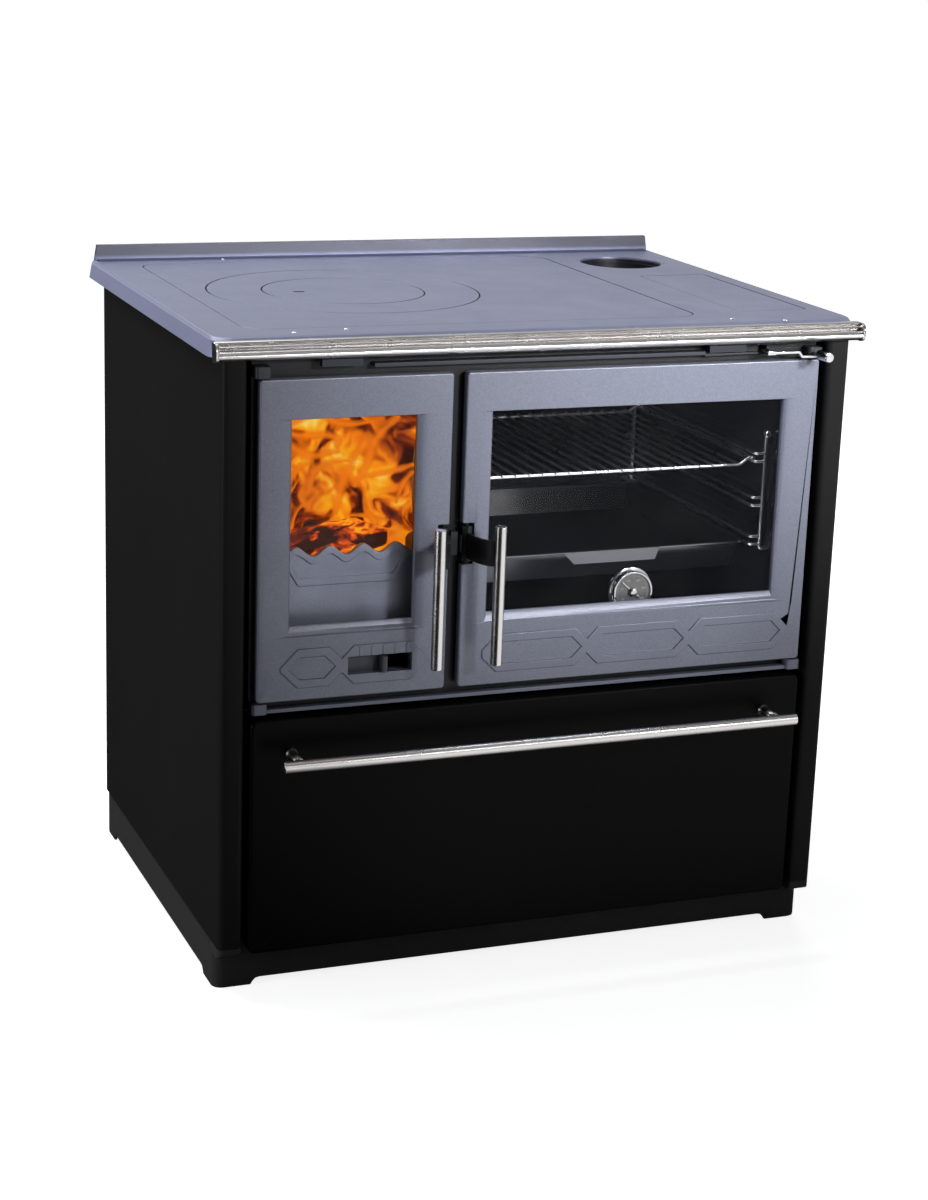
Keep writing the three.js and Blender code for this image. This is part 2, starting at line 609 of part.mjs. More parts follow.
function hotplateRing() {
  const step = COOKING_HEIGHT - PLATE_THICKNESS / 2;
  const seat = DISC_RADIUS + PLATE_GROOVE;
  const bore = DISC_RADIUS - RING_LEDGE;
  return turned('z', [RING_X, RING_Y, 0], [
    [bore, PLATE_SEAT], [RING_RADIUS, PLATE_SEAT], [RING_RADIUS, COOKING_HEIGHT],
    [seat, COOKING_HEIGHT], [seat, step - GAP], [bore, step - GAP], [bore, PLATE_SEAT],
  ], RING_SIDES);
}

function hotplateDisc() {
  const step = COOKING_HEIGHT - PLATE_THICKNESS / 2;
  const inner = DISC_RADIUS - RING_LEDGE - 1;
  const disc = turned('z', [RING_X, RING_Y, 0], [
    [0, PLATE_SEAT], [inner, PLATE_SEAT], [inner, step], [DISC_RADIUS, step],
    [DISC_RADIUS, COOKING_HEIGHT], [0, COOKING_HEIGHT],
  ], RING_SIDES);
  const x = RING_X - LIFT_SLOT_OFFSET;
  const slot = shapeOf(roundedRect(
    x - LIFT_SLOT_LENGTH / 2, x + LIFT_SLOT_LENGTH / 2,
    RING_Y - LIFT_SLOT_WIDTH / 2, RING_Y + LIFT_SLOT_WIDTH / 2, LIFT_SLOT_WIDTH / 2 - 0.1, 3));
  return disc.subtract(extrude('z', slot, PLATE_SEAT - 1, COOKING_HEIGHT + 1));
}

const sootCover = () => join(
  extrude('z', shapeOf(coverOutline(0)), PLATE_SEAT, COOKING_HEIGHT),
  extrude('z', shapeOf(coverOutline(-PLATE_LEDGE - 2)), DECK_BOTTOM + 2, PLATE_SEAT + 1));

function flueCollar() {
  const outer = FLUE_RADIUS + FLUE_WALL;
  return turned('z', [FLUE_X, FLUE_Y, 0], [
    [FLUE_RADIUS - 4, COOKING_HEIGHT - FLUE_DEPTH], [outer - 3, COOKING_HEIGHT - FLUE_DEPTH],
    [outer - 3, DECK_BOTTOM - 6], [outer + 6, DECK_BOTTOM - 6], [outer + 6, DECK_BOTTOM - GAP],
    [outer, DECK_BOTTOM - GAP], [outer, COOKING_HEIGHT], [FLUE_RADIUS, COOKING_HEIGHT],
    [FLUE_RADIUS, COOKING_HEIGHT - 8], [FLUE_RADIUS - 4, COOKING_HEIGHT - 8],
    [FLUE_RADIUS - 4, COOKING_HEIGHT - FLUE_DEPTH],
  ], FLUE_SIDES);
}

// The clamp inside the left of the flue bore, with its two screws.
function flueClamp() {
  const x = FLUE_X - FLUE_RADIUS + 4;
  const top = COOKING_HEIGHT - 9;
  const plan = roundedRect(x + 9, x + 16, FLUE_Y - 17, FLUE_Y + 17, 2, 2);
  const pad = extrude('z', shapeOf(plan), top - 14, top);
  const screw = (y) => turned('x', [x + 15, y, top - 7], [[0, 0], [5, 0], [5, 2], [3.2, 4], [0, 4.6]], 12);
  return join(pad, screw(FLUE_Y - 9), screw(FLUE_Y + 9));
}

// The half-round towel rail in front of the top: two narrow beads over a broad round moulding.
function frontRail() {
  const back = TOP_SETBACK - GAP;
  const top = RAIL_BOTTOM + RAIL_HEIGHT;
  const points = [[back, RAIL_BOTTOM], [back, top], [-2, top]];
  const arc = (cy, cz, ry, rz, from, to, steps) => {
    for (let i = 0; i <= steps; i += 1) {
      const angle = from + ((to - from) * i) / steps;
      points.push([cy - ry * Math.cos(angle), cz + rz * Math.sin(angle)]);
    }
  };
  arc(-2, top - 2.2, 4, 2.2, 1.2, -1.2, 4);
  arc(-3, top - 6.6, 6.5, 2, 1.2, -1.1, 4);
  arc(-2, RAIL_BOTTOM + 7.3, RAIL_FORWARD - 2, 7.3, 1.35, -1.45, 9);
  points.push([-0.5, RAIL_BOTTOM]);
  const rail = extrude('x', polygon(points.reverse()), -RAIL_HALF, RAIL_HALF);
  const end = roundedRect(-RAIL_FORWARD, back, RAIL_BOTTOM - 0.6, top - 1, [9, 2, 2, 9], 4);
  const cap = extrude('x', shapeOf(end), RAIL_HALF - 0.5, RAIL_HALF + RAIL_CAP);
  return join(rail, cap, mirrored(cap));
}

// ---------------------------------------------------------------- cast front frame

function frontFrame() {
  const outer = shapeOf(roundedRect(-FRAME_HALF, FRAME_HALF, FRAME_BOTTOM, FRAME_TOP, 3, 2));
  const opening = (x0, x1, from, to) =>
    extrude('y', shapeOf(roundedRect(x0, x1, CAVITY_BOTTOM, CAVITY_TOP, 10, 3)), from, to);
  const bottomLip = block(-FRAME_HALF, FRAME_HALF, LIP_FRONT, FRAME_FRONT + 1,
    FRAME_BOTTOM, FRAME_BOTTOM + LIP_THICKNESS);
  const topLip = block(TOP_LIP_LEFT, TOP_LIP_RIGHT, LIP_FRONT, FRAME_FRONT + 1,
    TOP_LIP_BOTTOM, TOP_LIP_BOTTOM + LIP_THICKNESS);
  const gusset = extrude('y', polygon([
    [TOP_LIP_RIGHT, TOP_LIP_BOTTOM - 2.5], [TOP_LIP_RIGHT + 78, TOP_LIP_BOTTOM - 1],
    [TOP_LIP_RIGHT + 78, TOP_LIP_BOTTOM + 0.5], [TOP_LIP_RIGHT, TOP_LIP_BOTTOM + 3],
  ]), LIP_FRONT + 3, FRAME_FRONT + 1);
  const lug = (x0, z0, z1) => extrude('z', shapeOf(roundedRect(
    x0, x0 + LUG_WIDTH, -1, FRAME_FRONT + 2, [4, 4, 1, 1], 3)), z0, z1);
  const lowLug = [FRAME_BOTTOM, DOOR_BOTTOM - 1.5];
  const highLug = [DOOR_TOP + 1.5, FRAME_TOP - 6];
  const left = -FRAME_HALF;
  const right = FRAME_HALF - LUG_WIDTH;
  const hinge = (x) => pin('z', [x, HINGE_DEPTH, FRAME_BOTTOM + 3], HINGE_RADIUS + GAP,
    FRAME_TOP - FRAME_BOTTOM - 5, 12);
  const rodNotch = block(DAMPER_ROD_X - 6, DAMPER_ROD_X + 6, -2, FRAME_BACK + 1,
    DAMPER_ROD_Z - 6, DAMPER_ROD_Z + 6);
  return cut(
    join(extrude('y', outer, FRAME_FRONT, FRAME_BACK), bottomLip, topLip, gusset,
      lug(left, ...lowLug), lug(left, ...highLug), lug(right, ...lowLug), lug(right, ...highLug)),
    opening(FIREBOX_LEFT, FIREBOX_RIGHT, FRAME_FRONT - 1, FRAME_BACK + 1),
    opening(OVEN_LEFT, OVEN_RIGHT - 4, FRAME_FRONT - 1, FRAME_BACK + 1),
    hinge(FIREBOX_DOOR_LEFT + HINGE_INSET), hinge(OVEN_DOOR_RIGHT - HINGE_INSET), rodNotch,
  );
}

// The T-shaped keeper between the doors that both latch tongues reach behind.
function latchKeeper() {
  const plan = polygon([
    [MULLION_X - 4.5, 6], [MULLION_X + 4.5, 6], [MULLION_X + 4.5, 9], [MULLION_X + 2, 9],
    [MULLION_X + 2, FRAME_FRONT - GAP - 2], [MULLION_X + 5, FRAME_FRONT - GAP - 2],
    [MULLION_X + 5, FRAME_FRONT - GAP], [MULLION_X - 5, FRAME_FRONT - GAP],
    [MULLION_X - 5, FRAME_FRONT - GAP - 2], [MULLION_X - 2, FRAME_FRONT - GAP - 2],
    [MULLION_X - 2, 9], [MULLION_X - 4.5, 9],
  ]);
  return extrude('z', plan, KNUCKLE_BOTTOM + 8, KNUCKLE_TOP - 8);
}

const hingeRod = (x) => pin('z', [x, HINGE_DEPTH, FRAME_BOTTOM + 3 + GAP], HINGE_RADIUS,
  FRAME_TOP - FRAME_BOTTOM - 10, 12);

// ---------------------------------------------------------------- doors

// One link of the chain ornament: a long hexagon whose ends slope at 45 degrees, with blunted tips.
function hexagon(x0, x1, half, bluntLeft = 0, bluntRight = 0) {
  const left = x0 - bluntLeft;
  const right = x1 + bluntRight;
  const ends = (x, blunt, way) => (blunt
    ? [[x + way * blunt, LINK_CENTRE + way * blunt], [x + way * blunt, LINK_CENTRE - way * blunt]]
    : [[x, LINK_CENTRE]]);
  return [
    ...ends(left, bluntLeft, 1), [left + half, LINK_CENTRE - half], [right - half, LINK_CENTRE - half],
    ...ends(right, bluntRight, -1), [right - half, LINK_CENTRE + half], [left + half, LINK_CENTRE + half],
  ].map(([x, z]) => new THREE.Vector2(x, z));
}

const linkBody = (...sizes) => extrude('y', shapeOf(hexagon(...sizes)), -LINK_RELIEF, 3, 1, 1);

// The sunk field inside a link, with sloping sides.
function linkField(x0, x1) {
  const grow = 1.2;
  const field = loft([
    { points: hexagon(x0, x1, LINK_POCKET_HALF), z: 0 },
    { points: hexagon(x0 - grow, x1 + grow, LINK_POCKET_HALF + grow), z: LINK_RELIEF + 1 },
  ]);
  return field.rotate([90, 0, 0]);
}

// A row of crossing links between two blunt ends.
function linkChain(left, right, count) {
  const pitch = (right - left) / count;
  const bodies = [];
  const fields = [];
  for (let i = 0; i < count; i += 1) {
    const x0 = left + i * pitch;
    const x1 = x0 + pitch;
    const first = i === 0;
    const last = i === count - 1;
    bodies.push(linkBody(first ? x0 : x0 - LINK_CROSSING, last ? x1 : x1 + LINK_CROSSING, LINK_HALF,
      first ? LINK_BLUNT : 0, last ? LINK_BLUNT : 0));
    fields.push(linkField(first ? x0 + 11 : x0 + LINK_TIP, last ? x1 - 11 : x1 - LINK_TIP));
  }
  return { bodies, fields };
}

// The casting of a door: plate with soft edges, window with coved sides and a sloping sill,
// rebate for the glass, groove for the sealing rope, hinge bore and a notch for the handle knuckle.
function castDoor({ left, right, windowLeft, windowRight, coves, hingeX, pivotX, chain, seal }) {
  const plate = extrude('y', shapeOf(roundedRect(left, right, DOOR_BOTTOM, DOOR_TOP, 4, 2)),
    0, DOOR_THICKNESS, DOOR_BEVEL);
  const [coveLeft, coveRight] = coves;
  const steps = 5;
  const hollow = [];
  for (let i = 0; i <= steps; i += 1) {
    const t = (i / steps) * 0.5 * Math.PI;
    hollow.push([1 - Math.sin(t), COVE_DEPTH * (1 - Math.cos(t))]);
  }
  const plan = polygon([
    [windowRight + coveRight, -1],
    ...hollow.map(([x, y]) => [windowRight + coveRight * x, y]),
    ...hollow.reverse().map(([x, y]) => [windowLeft - coveLeft * x, y]),
    [windowLeft - coveLeft, -1],
  ]);
  const sill = polygon([
    [-2, WINDOW_BOTTOM - WINDOW_SILL - 2], [0, WINDOW_BOTTOM - WINDOW_SILL],
    [1.8, WINDOW_BOTTOM - WINDOW_SILL + 1.5], [COVE_DEPTH + 1, WINDOW_BOTTOM + 1],
    [COVE_DEPTH + 1, WINDOW_TOP], [-2, WINDOW_TOP],
  ]);
  const recess = extrude('z', plan, WINDOW_BOTTOM - WINDOW_SILL - 2, WINDOW_TOP).intersect(
    extrude('x', sill, windowLeft - coveLeft - 1, windowRight + coveRight + 1));
  const opening = block(windowLeft, windowRight, -1, DOOR_THICKNESS + 1, WINDOW_BOTTOM, WINDOW_TOP);
  const lap = GLASS_LAP + 0.5;
  const rebate = block(windowLeft - lap, windowRight + lap, GLASS_FRONT - GAP, DOOR_THICKNESS + 1,
    WINDOW_BOTTOM - lap, WINDOW_TOP + lap);
  const [sealOuter, sealInner] = sealRings(seal, GAP);
  const groove = extrude('y', frameShape(sealOuter, sealInner), DOOR_THICKNESS - SEAL_GROOVE,
    DOOR_THICKNESS + 1);
  const bore = pin('z', [hingeX, HINGE_DEPTH, DOOR_BOTTOM - 1], HINGE_RADIUS + GAP,
    DOOR_TOP - DOOR_BOTTOM + 2, 12);
  const edge = pivotX > (left + right) / 2 ? right : left;
  const into = edge === right ? -1 : 1;
  const notchEnd = pivotX + into * (KNUCKLE_RADIUS + 1.3);
  const notch = block(Math.min(notchEnd, edge - into), Math.max(notchEnd, edge - into),
    -8, DOOR_THICKNESS + 1, KNUCKLE_BOTTOM - 4, KNUCKLE_TOP + 4);
  const pinBore = pin('z', [pivotX, HANDLE_PIVOT_DEPTH, KNUCKLE_BOTTOM - 16], HANDLE_PIN_RADIUS + GAP,
    KNUCKLE_TOP - KNUCKLE_BOTTOM + 32, 12);
  const ornament = join(...chain.bodies).subtract(extrude('y', polygon([
    [left, DOOR_BOTTOM], [right, DOOR_BOTTOM], [right, DOOR_TOP], [left, DOOR_TOP]]), 2, 4));
  return cut(join(plate, ornament), ...chain.fields, recess, opening, rebate, groove, bore, notch, pinBore);
}

const sealRings = ([x0, x1, z0, z1], grow) => [
  roundedRect(x0 - grow, x1 + grow, z0 - grow, z1 + grow, 8, 3),
  roundedRect(x0 + SEAL_WIDTH + grow, x1 - SEAL_WIDTH - grow, z0 + SEAL_WIDTH + grow,
    z1 - SEAL_WIDTH - grow, 3, 3),
];

function doorSeal(seal) {
  const [outer, inner] = sealRings(seal, 0);
  return extrude('y', frameShape(outer, inner), DOOR_THICKNESS - SEAL_GROOVE + GAP, FRAME_FRONT - GAP);
}

const doorGlass = (x0, x1) => block(x0 - GLASS_LAP, x1 + GLASS_LAP, GLASS_FRONT,
  GLASS_FRONT + GLASS_THICKNESS, WINDOW_BOTTOM - GLASS_LAP, WINDOW_TOP + GLASS_LAP);

function glassRetainer(x0, x1) {
  const from = DOOR_THICKNESS + GAP;
  const ring = (lap, radius) => roundedRect(
    x0 - lap, x1 + lap, WINDOW_BOTTOM - lap, WINDOW_TOP + lap, radius, 2);
  return extrude('y', frameShape(ring(RETAINER_LAP, 4), ring(2.5, 2)), from, from + RETAINER_THICKNESS);
}

function fireboxDoor() {
  const crossing = FIREBOX_LINK_CROSSING;
  const door = castDoor({
    left: FIREBOX_DOOR_LEFT, right: FIREBOX_DOOR_RIGHT,
    windowLeft: FIREBOX_WINDOW_LEFT, windowRight: FIREBOX_WINDOW_RIGHT,
    coves: [COVE_WIDTH, COVE_WIDTH],
    hingeX: FIREBOX_DOOR_LEFT + HINGE_INSET, pivotX: FIREBOX_PIVOT_X, seal: FIREBOX_SEAL,
    chain: {
      bodies: [
        linkBody(FIREBOX_LINK_LEFT, crossing + LINK_CROSSING, LINK_HALF, LINK_BLUNT / 2, 0),
        linkBody(crossing - LINK_CROSSING, FIREBOX_LINK_RIGHT, LINK_HALF, 0, LINK_BLUNT),
      ],
      fields: [linkField(FIREBOX_LINK_LEFT + 11, crossing - LINK_TIP - 1)],
    },
  });
  const slot = block(AIR_SLOT_LEFT, AIR_SLOT_RIGHT, -5, DOOR_THICKNESS + 1, AIR_SLOT_BOTTOM, AIR_SLOT_TOP);
  const right = AIR_TAB_X + AIR_TAB_EDGE;
  const pocket = block(right - AIR_SLIDE_LENGTH - AIR_OPEN_TRAVEL - 2, right + AIR_SHUT_TRAVEL + 2,
    DOOR_THICKNESS - AIR_SLIDE_THICKNESS - 2 * GAP, DOOR_THICKNESS + 1,
    AIR_SLOT_BOTTOM - 6, AIR_SLOT_TOP + 6);
  let plate = door;
  for (let i = -2; i <= 2; i += 1) {
    const x = AIR_TAB_X + i * AIR_NOTCH_PITCH;
    plate = plate.add(block(x - 1.6, x + 1.6, -LINK_RELIEF - 1, 1,
      AIR_SLOT_TOP + 1, LINK_CENTRE + LINK_HALF - 2));
  }
  return cut(plate, slot, pocket);
}

const ovenDoor = () => castDoor({
  left: OVEN_DOOR_LEFT, right: OVEN_DOOR_RIGHT,
  windowLeft: OVEN_WINDOW_LEFT, windowRight: OVEN_WINDOW_RIGHT,
  coves: [COVE_WIDTH_NARROW, COVE_WIDTH],
  hingeX: OVEN_DOOR_RIGHT - HINGE_INSET, pivotX: OVEN_PIVOT_X, seal: OVEN_SEAL,
  chain: linkChain(OVEN_LINK_LEFT, OVEN_LINK_RIGHT, OVEN_LINK_COUNT),
});

// The sliding shutter behind the air slot, with the tab that moves it.
function airSlide() {
  const from = DOOR_THICKNESS - AIR_SLIDE_THICKNESS - GAP;
  const right = AIR_TAB_X + AIR_TAB_EDGE;
  return join(
    block(right - AIR_SLIDE_LENGTH, right, from, DOOR_THICKNESS - GAP, AIR_SLOT_BOTTOM - 5, AIR_SLOT_TOP + 5),
    block(AIR_TAB_X - 2, AIR_TAB_X + 2, -6, from + 1, AIR_SLOT_BOTTOM + 2, AIR_SLOT_TOP - 1),
    extrude('z', shapeOf(roundedRect(AIR_TAB_X - 3.5, AIR_TAB_X + 3.5, -9, -3.5, 2, 2)),
      AIR_SLOT_BOTTOM + 1, AIR_SLOT_TOP - 1));
}

function airSlideKeeper() {
  const right = AIR_TAB_X + AIR_TAB_EDGE + AIR_SHUT_TRAVEL;
  const left = AIR_TAB_X + AIR_TAB_EDGE - AIR_SLIDE_LENGTH - AIR_OPEN_TRAVEL;
  const outer = roundedRect(left - 6, right + 8, AIR_SLOT_BOTTOM - 12, AIR_SLOT_TOP + 12, 4, 2);
  const inner = roundedRect(AIR_SLOT_LEFT, AIR_SLOT_RIGHT, AIR_SLOT_BOTTOM, AIR_SLOT_TOP, 2, 2);
  return extrude('y', frameShape(outer, inner), DOOR_THICKNESS + GAP, DOOR_THICKNESS + 2);
}

// ---------------------------------------------------------------- door handles

// The black lever of the left door, drawn about its pivot: knuckle, curved strap and latch tongue.
function handleLever() {
  const outerArc = [];
  const innerArc = [];
  const steps = 6;
  for (let i = 0; i <= steps; i += 1) {
    const t = (i / steps) * 0.5 * Math.PI;
    const x = -HANDLE_SIDE * (1 - Math.cos(t));
    const y = -6 - (HANDLE_FORWARD - 6) * Math.sin(t);
    const nx = Math.cos(t) * STRAP_THICKNESS / 2;
    const ny = -Math.sin(t) * STRAP_THICKNESS / 2;
    outerArc.push([x + nx, y + ny]);
    innerArc.push([x - nx, y - ny]);
  }
  const strap = extrude('z', polygon([
    [-STRAP_THICKNESS / 2, -2], ...innerArc, ...outerArc.reverse(), [STRAP_THICKNESS / 2, -2],
  ]), STRAP_BOTTOM, STRAP_BOTTOM + STRAP_HEIGHT);
  const tongue = extrude('z', polygon([
    [0, -2.5], [8.7, -2.5], [10.5, 0], [10.5, 7.5], [7.8, 7.5], [7.8, 3], [0, 3],
  ]), KNUCKLE_BOTTOM + 12, KNUCKLE_TOP - 12);
  const knuckle = pin('z', [0, 0, KNUCKLE_BOTTOM], KNUCKLE_RADIUS, KNUCKLE_TOP - KNUCKLE_BOTTOM, 20);
  const bore = pin('z', [0, 0, KNUCKLE_BOTTOM - 1], HANDLE_PIN_RADIUS + GAP,
    KNUCKLE_TOP - KNUCKLE_BOTTOM + 2);
  const rodSpace = pin('z', [-HANDLE_SIDE, -HANDLE_FORWARD, STRAP_BOTTOM - 1], ROD_RADIUS + GAP,
    STRAP_HEIGHT + 2, 20);
  return cut(join(knuckle, strap, tongue), bore, rodSpace);
}

const handleRod = () => turned('z', [-HANDLE_SIDE, -HANDLE_FORWARD, 0], [
  [0, ROD_BOTTOM], [ROD_RADIUS - 1.2, ROD_BOTTOM], [ROD_RADIUS, ROD_BOTTOM + 1.2],
  [ROD_RADIUS, ROD_TOP - 1.2], [ROD_RADIUS - 1.2, ROD_TOP], [0, ROD_TOP],
], 20);

const handlePin = (x) => pin('z', [x, HANDLE_PIVOT_DEPTH, KNUCKLE_BOTTOM - 15], HANDLE_PIN_RADIUS,
  KNUCKLE_TOP - KNUCKLE_BOTTOM + 30, 12);

// ---------------------------------------------------------------- firebox

function fireboxShell() {
  const outer = roundedRect(FIREBOX_LEFT - FIREBOX_WALL, FIREBOX_RIGHT + FIREBOX_WALL,
    CAVITY_BOTTOM - FIREBOX_WALL, SMOKE_FLOOR - GAP, 1, 1);
  const inner = block(FIREBOX_LEFT, FIREBOX_RIGHT, BOX_FRONT - 1, FIREBOX_BACK,
    CAVITY_BOTTOM, SMOKE_FLOOR + 1);
  const ledge = (x0, x1) => block(x0, x1, BOX_FRONT, FIREBOX_BACK + 1, GRATE_BOTTOM - 8, GRATE_BOTTOM - GAP);
  return join(
    extrude('y', shapeOf(outer), BOX_FRONT, FIREBOX_BACK + FIREBOX_WALL).subtract(inner),
    ledge(FIREBOX_LEFT - 1, FIREBOX_LEFT + 9), ledge(FIREBOX_RIGHT - 9, FIREBOX_RIGHT + 1));
}

// A cast lining plate of the given length with upright ribs on its fire side, as a plan outline
// that runs along x with its back on y = 0.
function ribbedPlan(length, pitch) {
  const body = LINING_THICKNESS - 5;
  const points = [[0, 0], [0, -body]];
  const count = Math.floor((length - 14) / pitch);
  const first = (length - (count - 1) * pitch) / 2;
  for (let i = 0; i < count; i += 1) {
    const x = first + i * pitch;
    points.push([x - 6, -body], [x - 3.5, -LINING_THICKNESS], [x + 3.5, -LINING_THICKNESS], [x + 6, -body]);
  }
  points.push([length, -body], [length, 0]);
  return polygon(points.reverse());
}

function lining(length, place) {
  const z0 = GRATE_BOTTOM + GRATE_THICKNESS + GAP;
  return place(extrude('z', ribbedPlan(length, 26), z0, LINING_TOP));
}

const liningLeft = () => lining(FIREBOX_BACK - LINING_FRONT - LINING_THICKNESS - 2 * GAP, (plate) =>
  plate.rotate([0, 0, 90]).translate([FIREBOX_LEFT + GAP, LINING_FRONT, 0]));
const liningRight = () => lining(FIREBOX_BACK - LINING_FRONT - LINING_THICKNESS - 2 * GAP, (plate) =>
  plate.rotate([0, 0, -90]).translate([FIREBOX_RIGHT - GAP, FIREBOX_BACK - LINING_THICKNESS - 2 * GAP, 0]));
const liningRear = () => lining(FIREBOX_RIGHT - FIREBOX_LEFT - 2 * GAP, (plate) =>
  plate.translate([FIREBOX_LEFT + GAP, FIREBOX_BACK - GAP, 0]));

function fireGrate() {
  const x0 = FIREBOX_LEFT + 1;
  const x1 = FIREBOX_RIGHT - 1;
  const y0 = LINING_FRONT + 2;
  const y1 = FIREBOX_BACK - 1;
  let grate = block(x0, x1, y0, y1, GRATE_BOTTOM, GRATE_BOTTOM + GRATE_THICKNESS);
  const pitch = (x1 - x0 - 24) / GRATE_SLOTS;
  const half = (y1 - y0) / 2;
  for (let i = 0; i < GRATE_SLOTS; i += 1) {
    const x = x0 + 12 + (i + 0.5) * pitch;
    for (const [from, to] of [[y0 + 16, y0 + half - 8], [y0 + half + 8, y1 - 16]]) {
      const slot = shapeOf(roundedRect(x - 5, x + 5, from, to, 4, 1));
      grate = grate.subtract(extrude('z', slot, GRATE_BOTTOM - 1, GRATE_BOTTOM + GRATE_THICKNESS + 1));
    }
  }
  return grate;
}

// The guard that holds the logs back: a cast plate with a wavy top edge, and a raised border that
// follows the waves and closes below in a straight band with slanted ends.
function fireGuard() {
  const left = FIREBOX_LEFT + 2;
  const right = FIREBOX_RIGHT - 2;
  const middle = (left + right) / 2;
  const wave = (x) => -GUARD_WAVE * Math.cos(((x - middle) / GUARD_WAVE_LENGTH) * 2 * Math.PI);
  const waveLine = (x0, x1, level) => {
    const line = [];
    const steps = Math.round((x1 - x0) / (GUARD_WAVE_LENGTH / 8));
    for (let i = 0; i <= steps; i += 1) {
      const x = x0 + ((x1 - x0) * i) / steps;
      line.push([x, level + wave(x)]);
    }
    return line;
  };
  const plate = polygon([
    [left, GUARD_BOTTOM], [right, GUARD_BOTTOM], ...waveLine(left, right, GUARD_TOP).reverse(),
  ]);
  const closed = (half, top, bottom) => {
    const slope = 0.62 * half.drop;
    return polygon([
      [middle - half.low, bottom], [middle + half.low, bottom],
      [middle + half.low + slope, bottom + half.drop],
      ...waveLine(middle - half.high, middle + half.high, top).reverse(),
      [middle - half.low - slope, bottom + half.drop],
    ]);
  };
  const fieldTop = GUARD_TOP - GUARD_BAND;
  const fieldBottom = fieldTop - GUARD_FIELD + GUARD_BAND - 3;
  const outline = closed({ low: 63, high: right - middle, drop: 24 }, GUARD_TOP, fieldBottom - GUARD_BAND);
  const field = closed({ low: 62, high: 68, drop: 18 }, fieldTop, fieldBottom);
  return join(
    extrude('y', plate, GUARD_DEPTH, GUARD_DEPTH + GUARD_THICKNESS),
    extrude('y', outline, GUARD_DEPTH - 2, GUARD_DEPTH + 1).subtract(
      extrude('y', field, GUARD_DEPTH - 3, GUARD_DEPTH)));
}

// An open pan with sloping walls and a turned-over rim.
function pan(x0, x1, y0, y1, z0, z1, slope, sheet, rim) {
  const ring = (inset, radius) => roundedRect(x0 + inset, x1 - inset, y0 + inset, y1 - inset, radius, 3);
  const outside = loft([
    { points: ring(slope, 8), z: z0 }, { points: ring(0, 12), z: z1 },
  ]);
  const inside = loft([
    { points: ring(slope + sheet, 7), z: z0 + sheet }, { points: ring(sheet, 11), z: z1 + 1 },
  ]);
  const flange = extrude('z', frameShape(ring(-rim, 14), ring(sheet, 11)), z1 - sheet, z1);
  return cut(join(outside, flange), inside);
}

function ashPan() {
  const body = pan(FIREBOX_LEFT + 16, FIREBOX_RIGHT - 16, 48, FIREBOX_BACK - 12,
    CAVITY_BOTTOM + GAP, CAVITY_BOTTOM + 46, 6, 1.5, 3);
  const x = (FIREBOX_LEFT + FIREBOX_RIGHT) / 2;
  const grip = polygon([
    [x - 34, CAVITY_BOTTOM + 20], [x + 34, CAVITY_BOTTOM + 20], [x + 30, CAVITY_BOTTOM + 34],
    [x - 30, CAVITY_BOTTOM + 34],
  ]);
  return body.add(extrude('y', grip, 40, 52));
}

const heatShield = () => block(-BODY_HALF + 30, BODY_HALF - 30, BOX_FRONT + 10, BODY_DEPTH - 20,
  SHIELD_BOTTOM, SHIELD_BOTTOM + 2);

// The channel that leads the smoke over the oven to the flue, open above under the cooking top.
function smokeBox() {
  const left = FIREBOX_LEFT - FIREBOX_WALL;
  const right = FLUE_X + FLUE_RADIUS + FLUE_WALL + 4;
  const back = FLUE_Y + FLUE_RADIUS + 22;
  const plan = (inset) => polygon([
    [left + inset, BOX_FRONT + inset], [COLUMN_INNER - 9 - inset, BOX_FRONT + inset],
    [COLUMN_INNER - 9 - inset, COLUMN_RETURN + 4 + inset], [right - inset, COLUMN_RETURN + 4 + inset],
    [right - inset, back - inset], [left + inset, back - inset],
  ]);
  const top = DECK_BOTTOM - 8;
  return cut(
    extrude('z', plan(0), SMOKE_FLOOR, top),
    extrude('z', plan(SMOKE_WALL), SMOKE_FLOOR + SMOKE_WALL, top + 1),
    block(FIREBOX_LEFT, FIREBOX_RIGHT, BOX_FRONT + SMOKE_WALL, FIREBOX_BACK, SMOKE_FLOOR - 1, top),
    block(DAMPER_ROD_X - 6, DAMPER_ROD_X + 6, BOX_FRONT - 1, BOX_FRONT + 5, DAMPER_ROD_Z - 6, top + 1),
  );
}

// ---------------------------------------------------------------- oven

function ovenBox() {
  const ring = (grow, radius) => shapeOf(roundedRect(
    OVEN_LEFT - grow, OVEN_RIGHT + grow, CAVITY_BOTTOM - grow, CAVITY_TOP + grow, radius, 3));
  return extrude('y', ring(OVEN_WALL, 14), BOX_FRONT, OVEN_BACK + OVEN_WALL).subtract(
    extrude('y', ring(0, 11), BOX_FRONT - 1, OVEN_BACK));
}

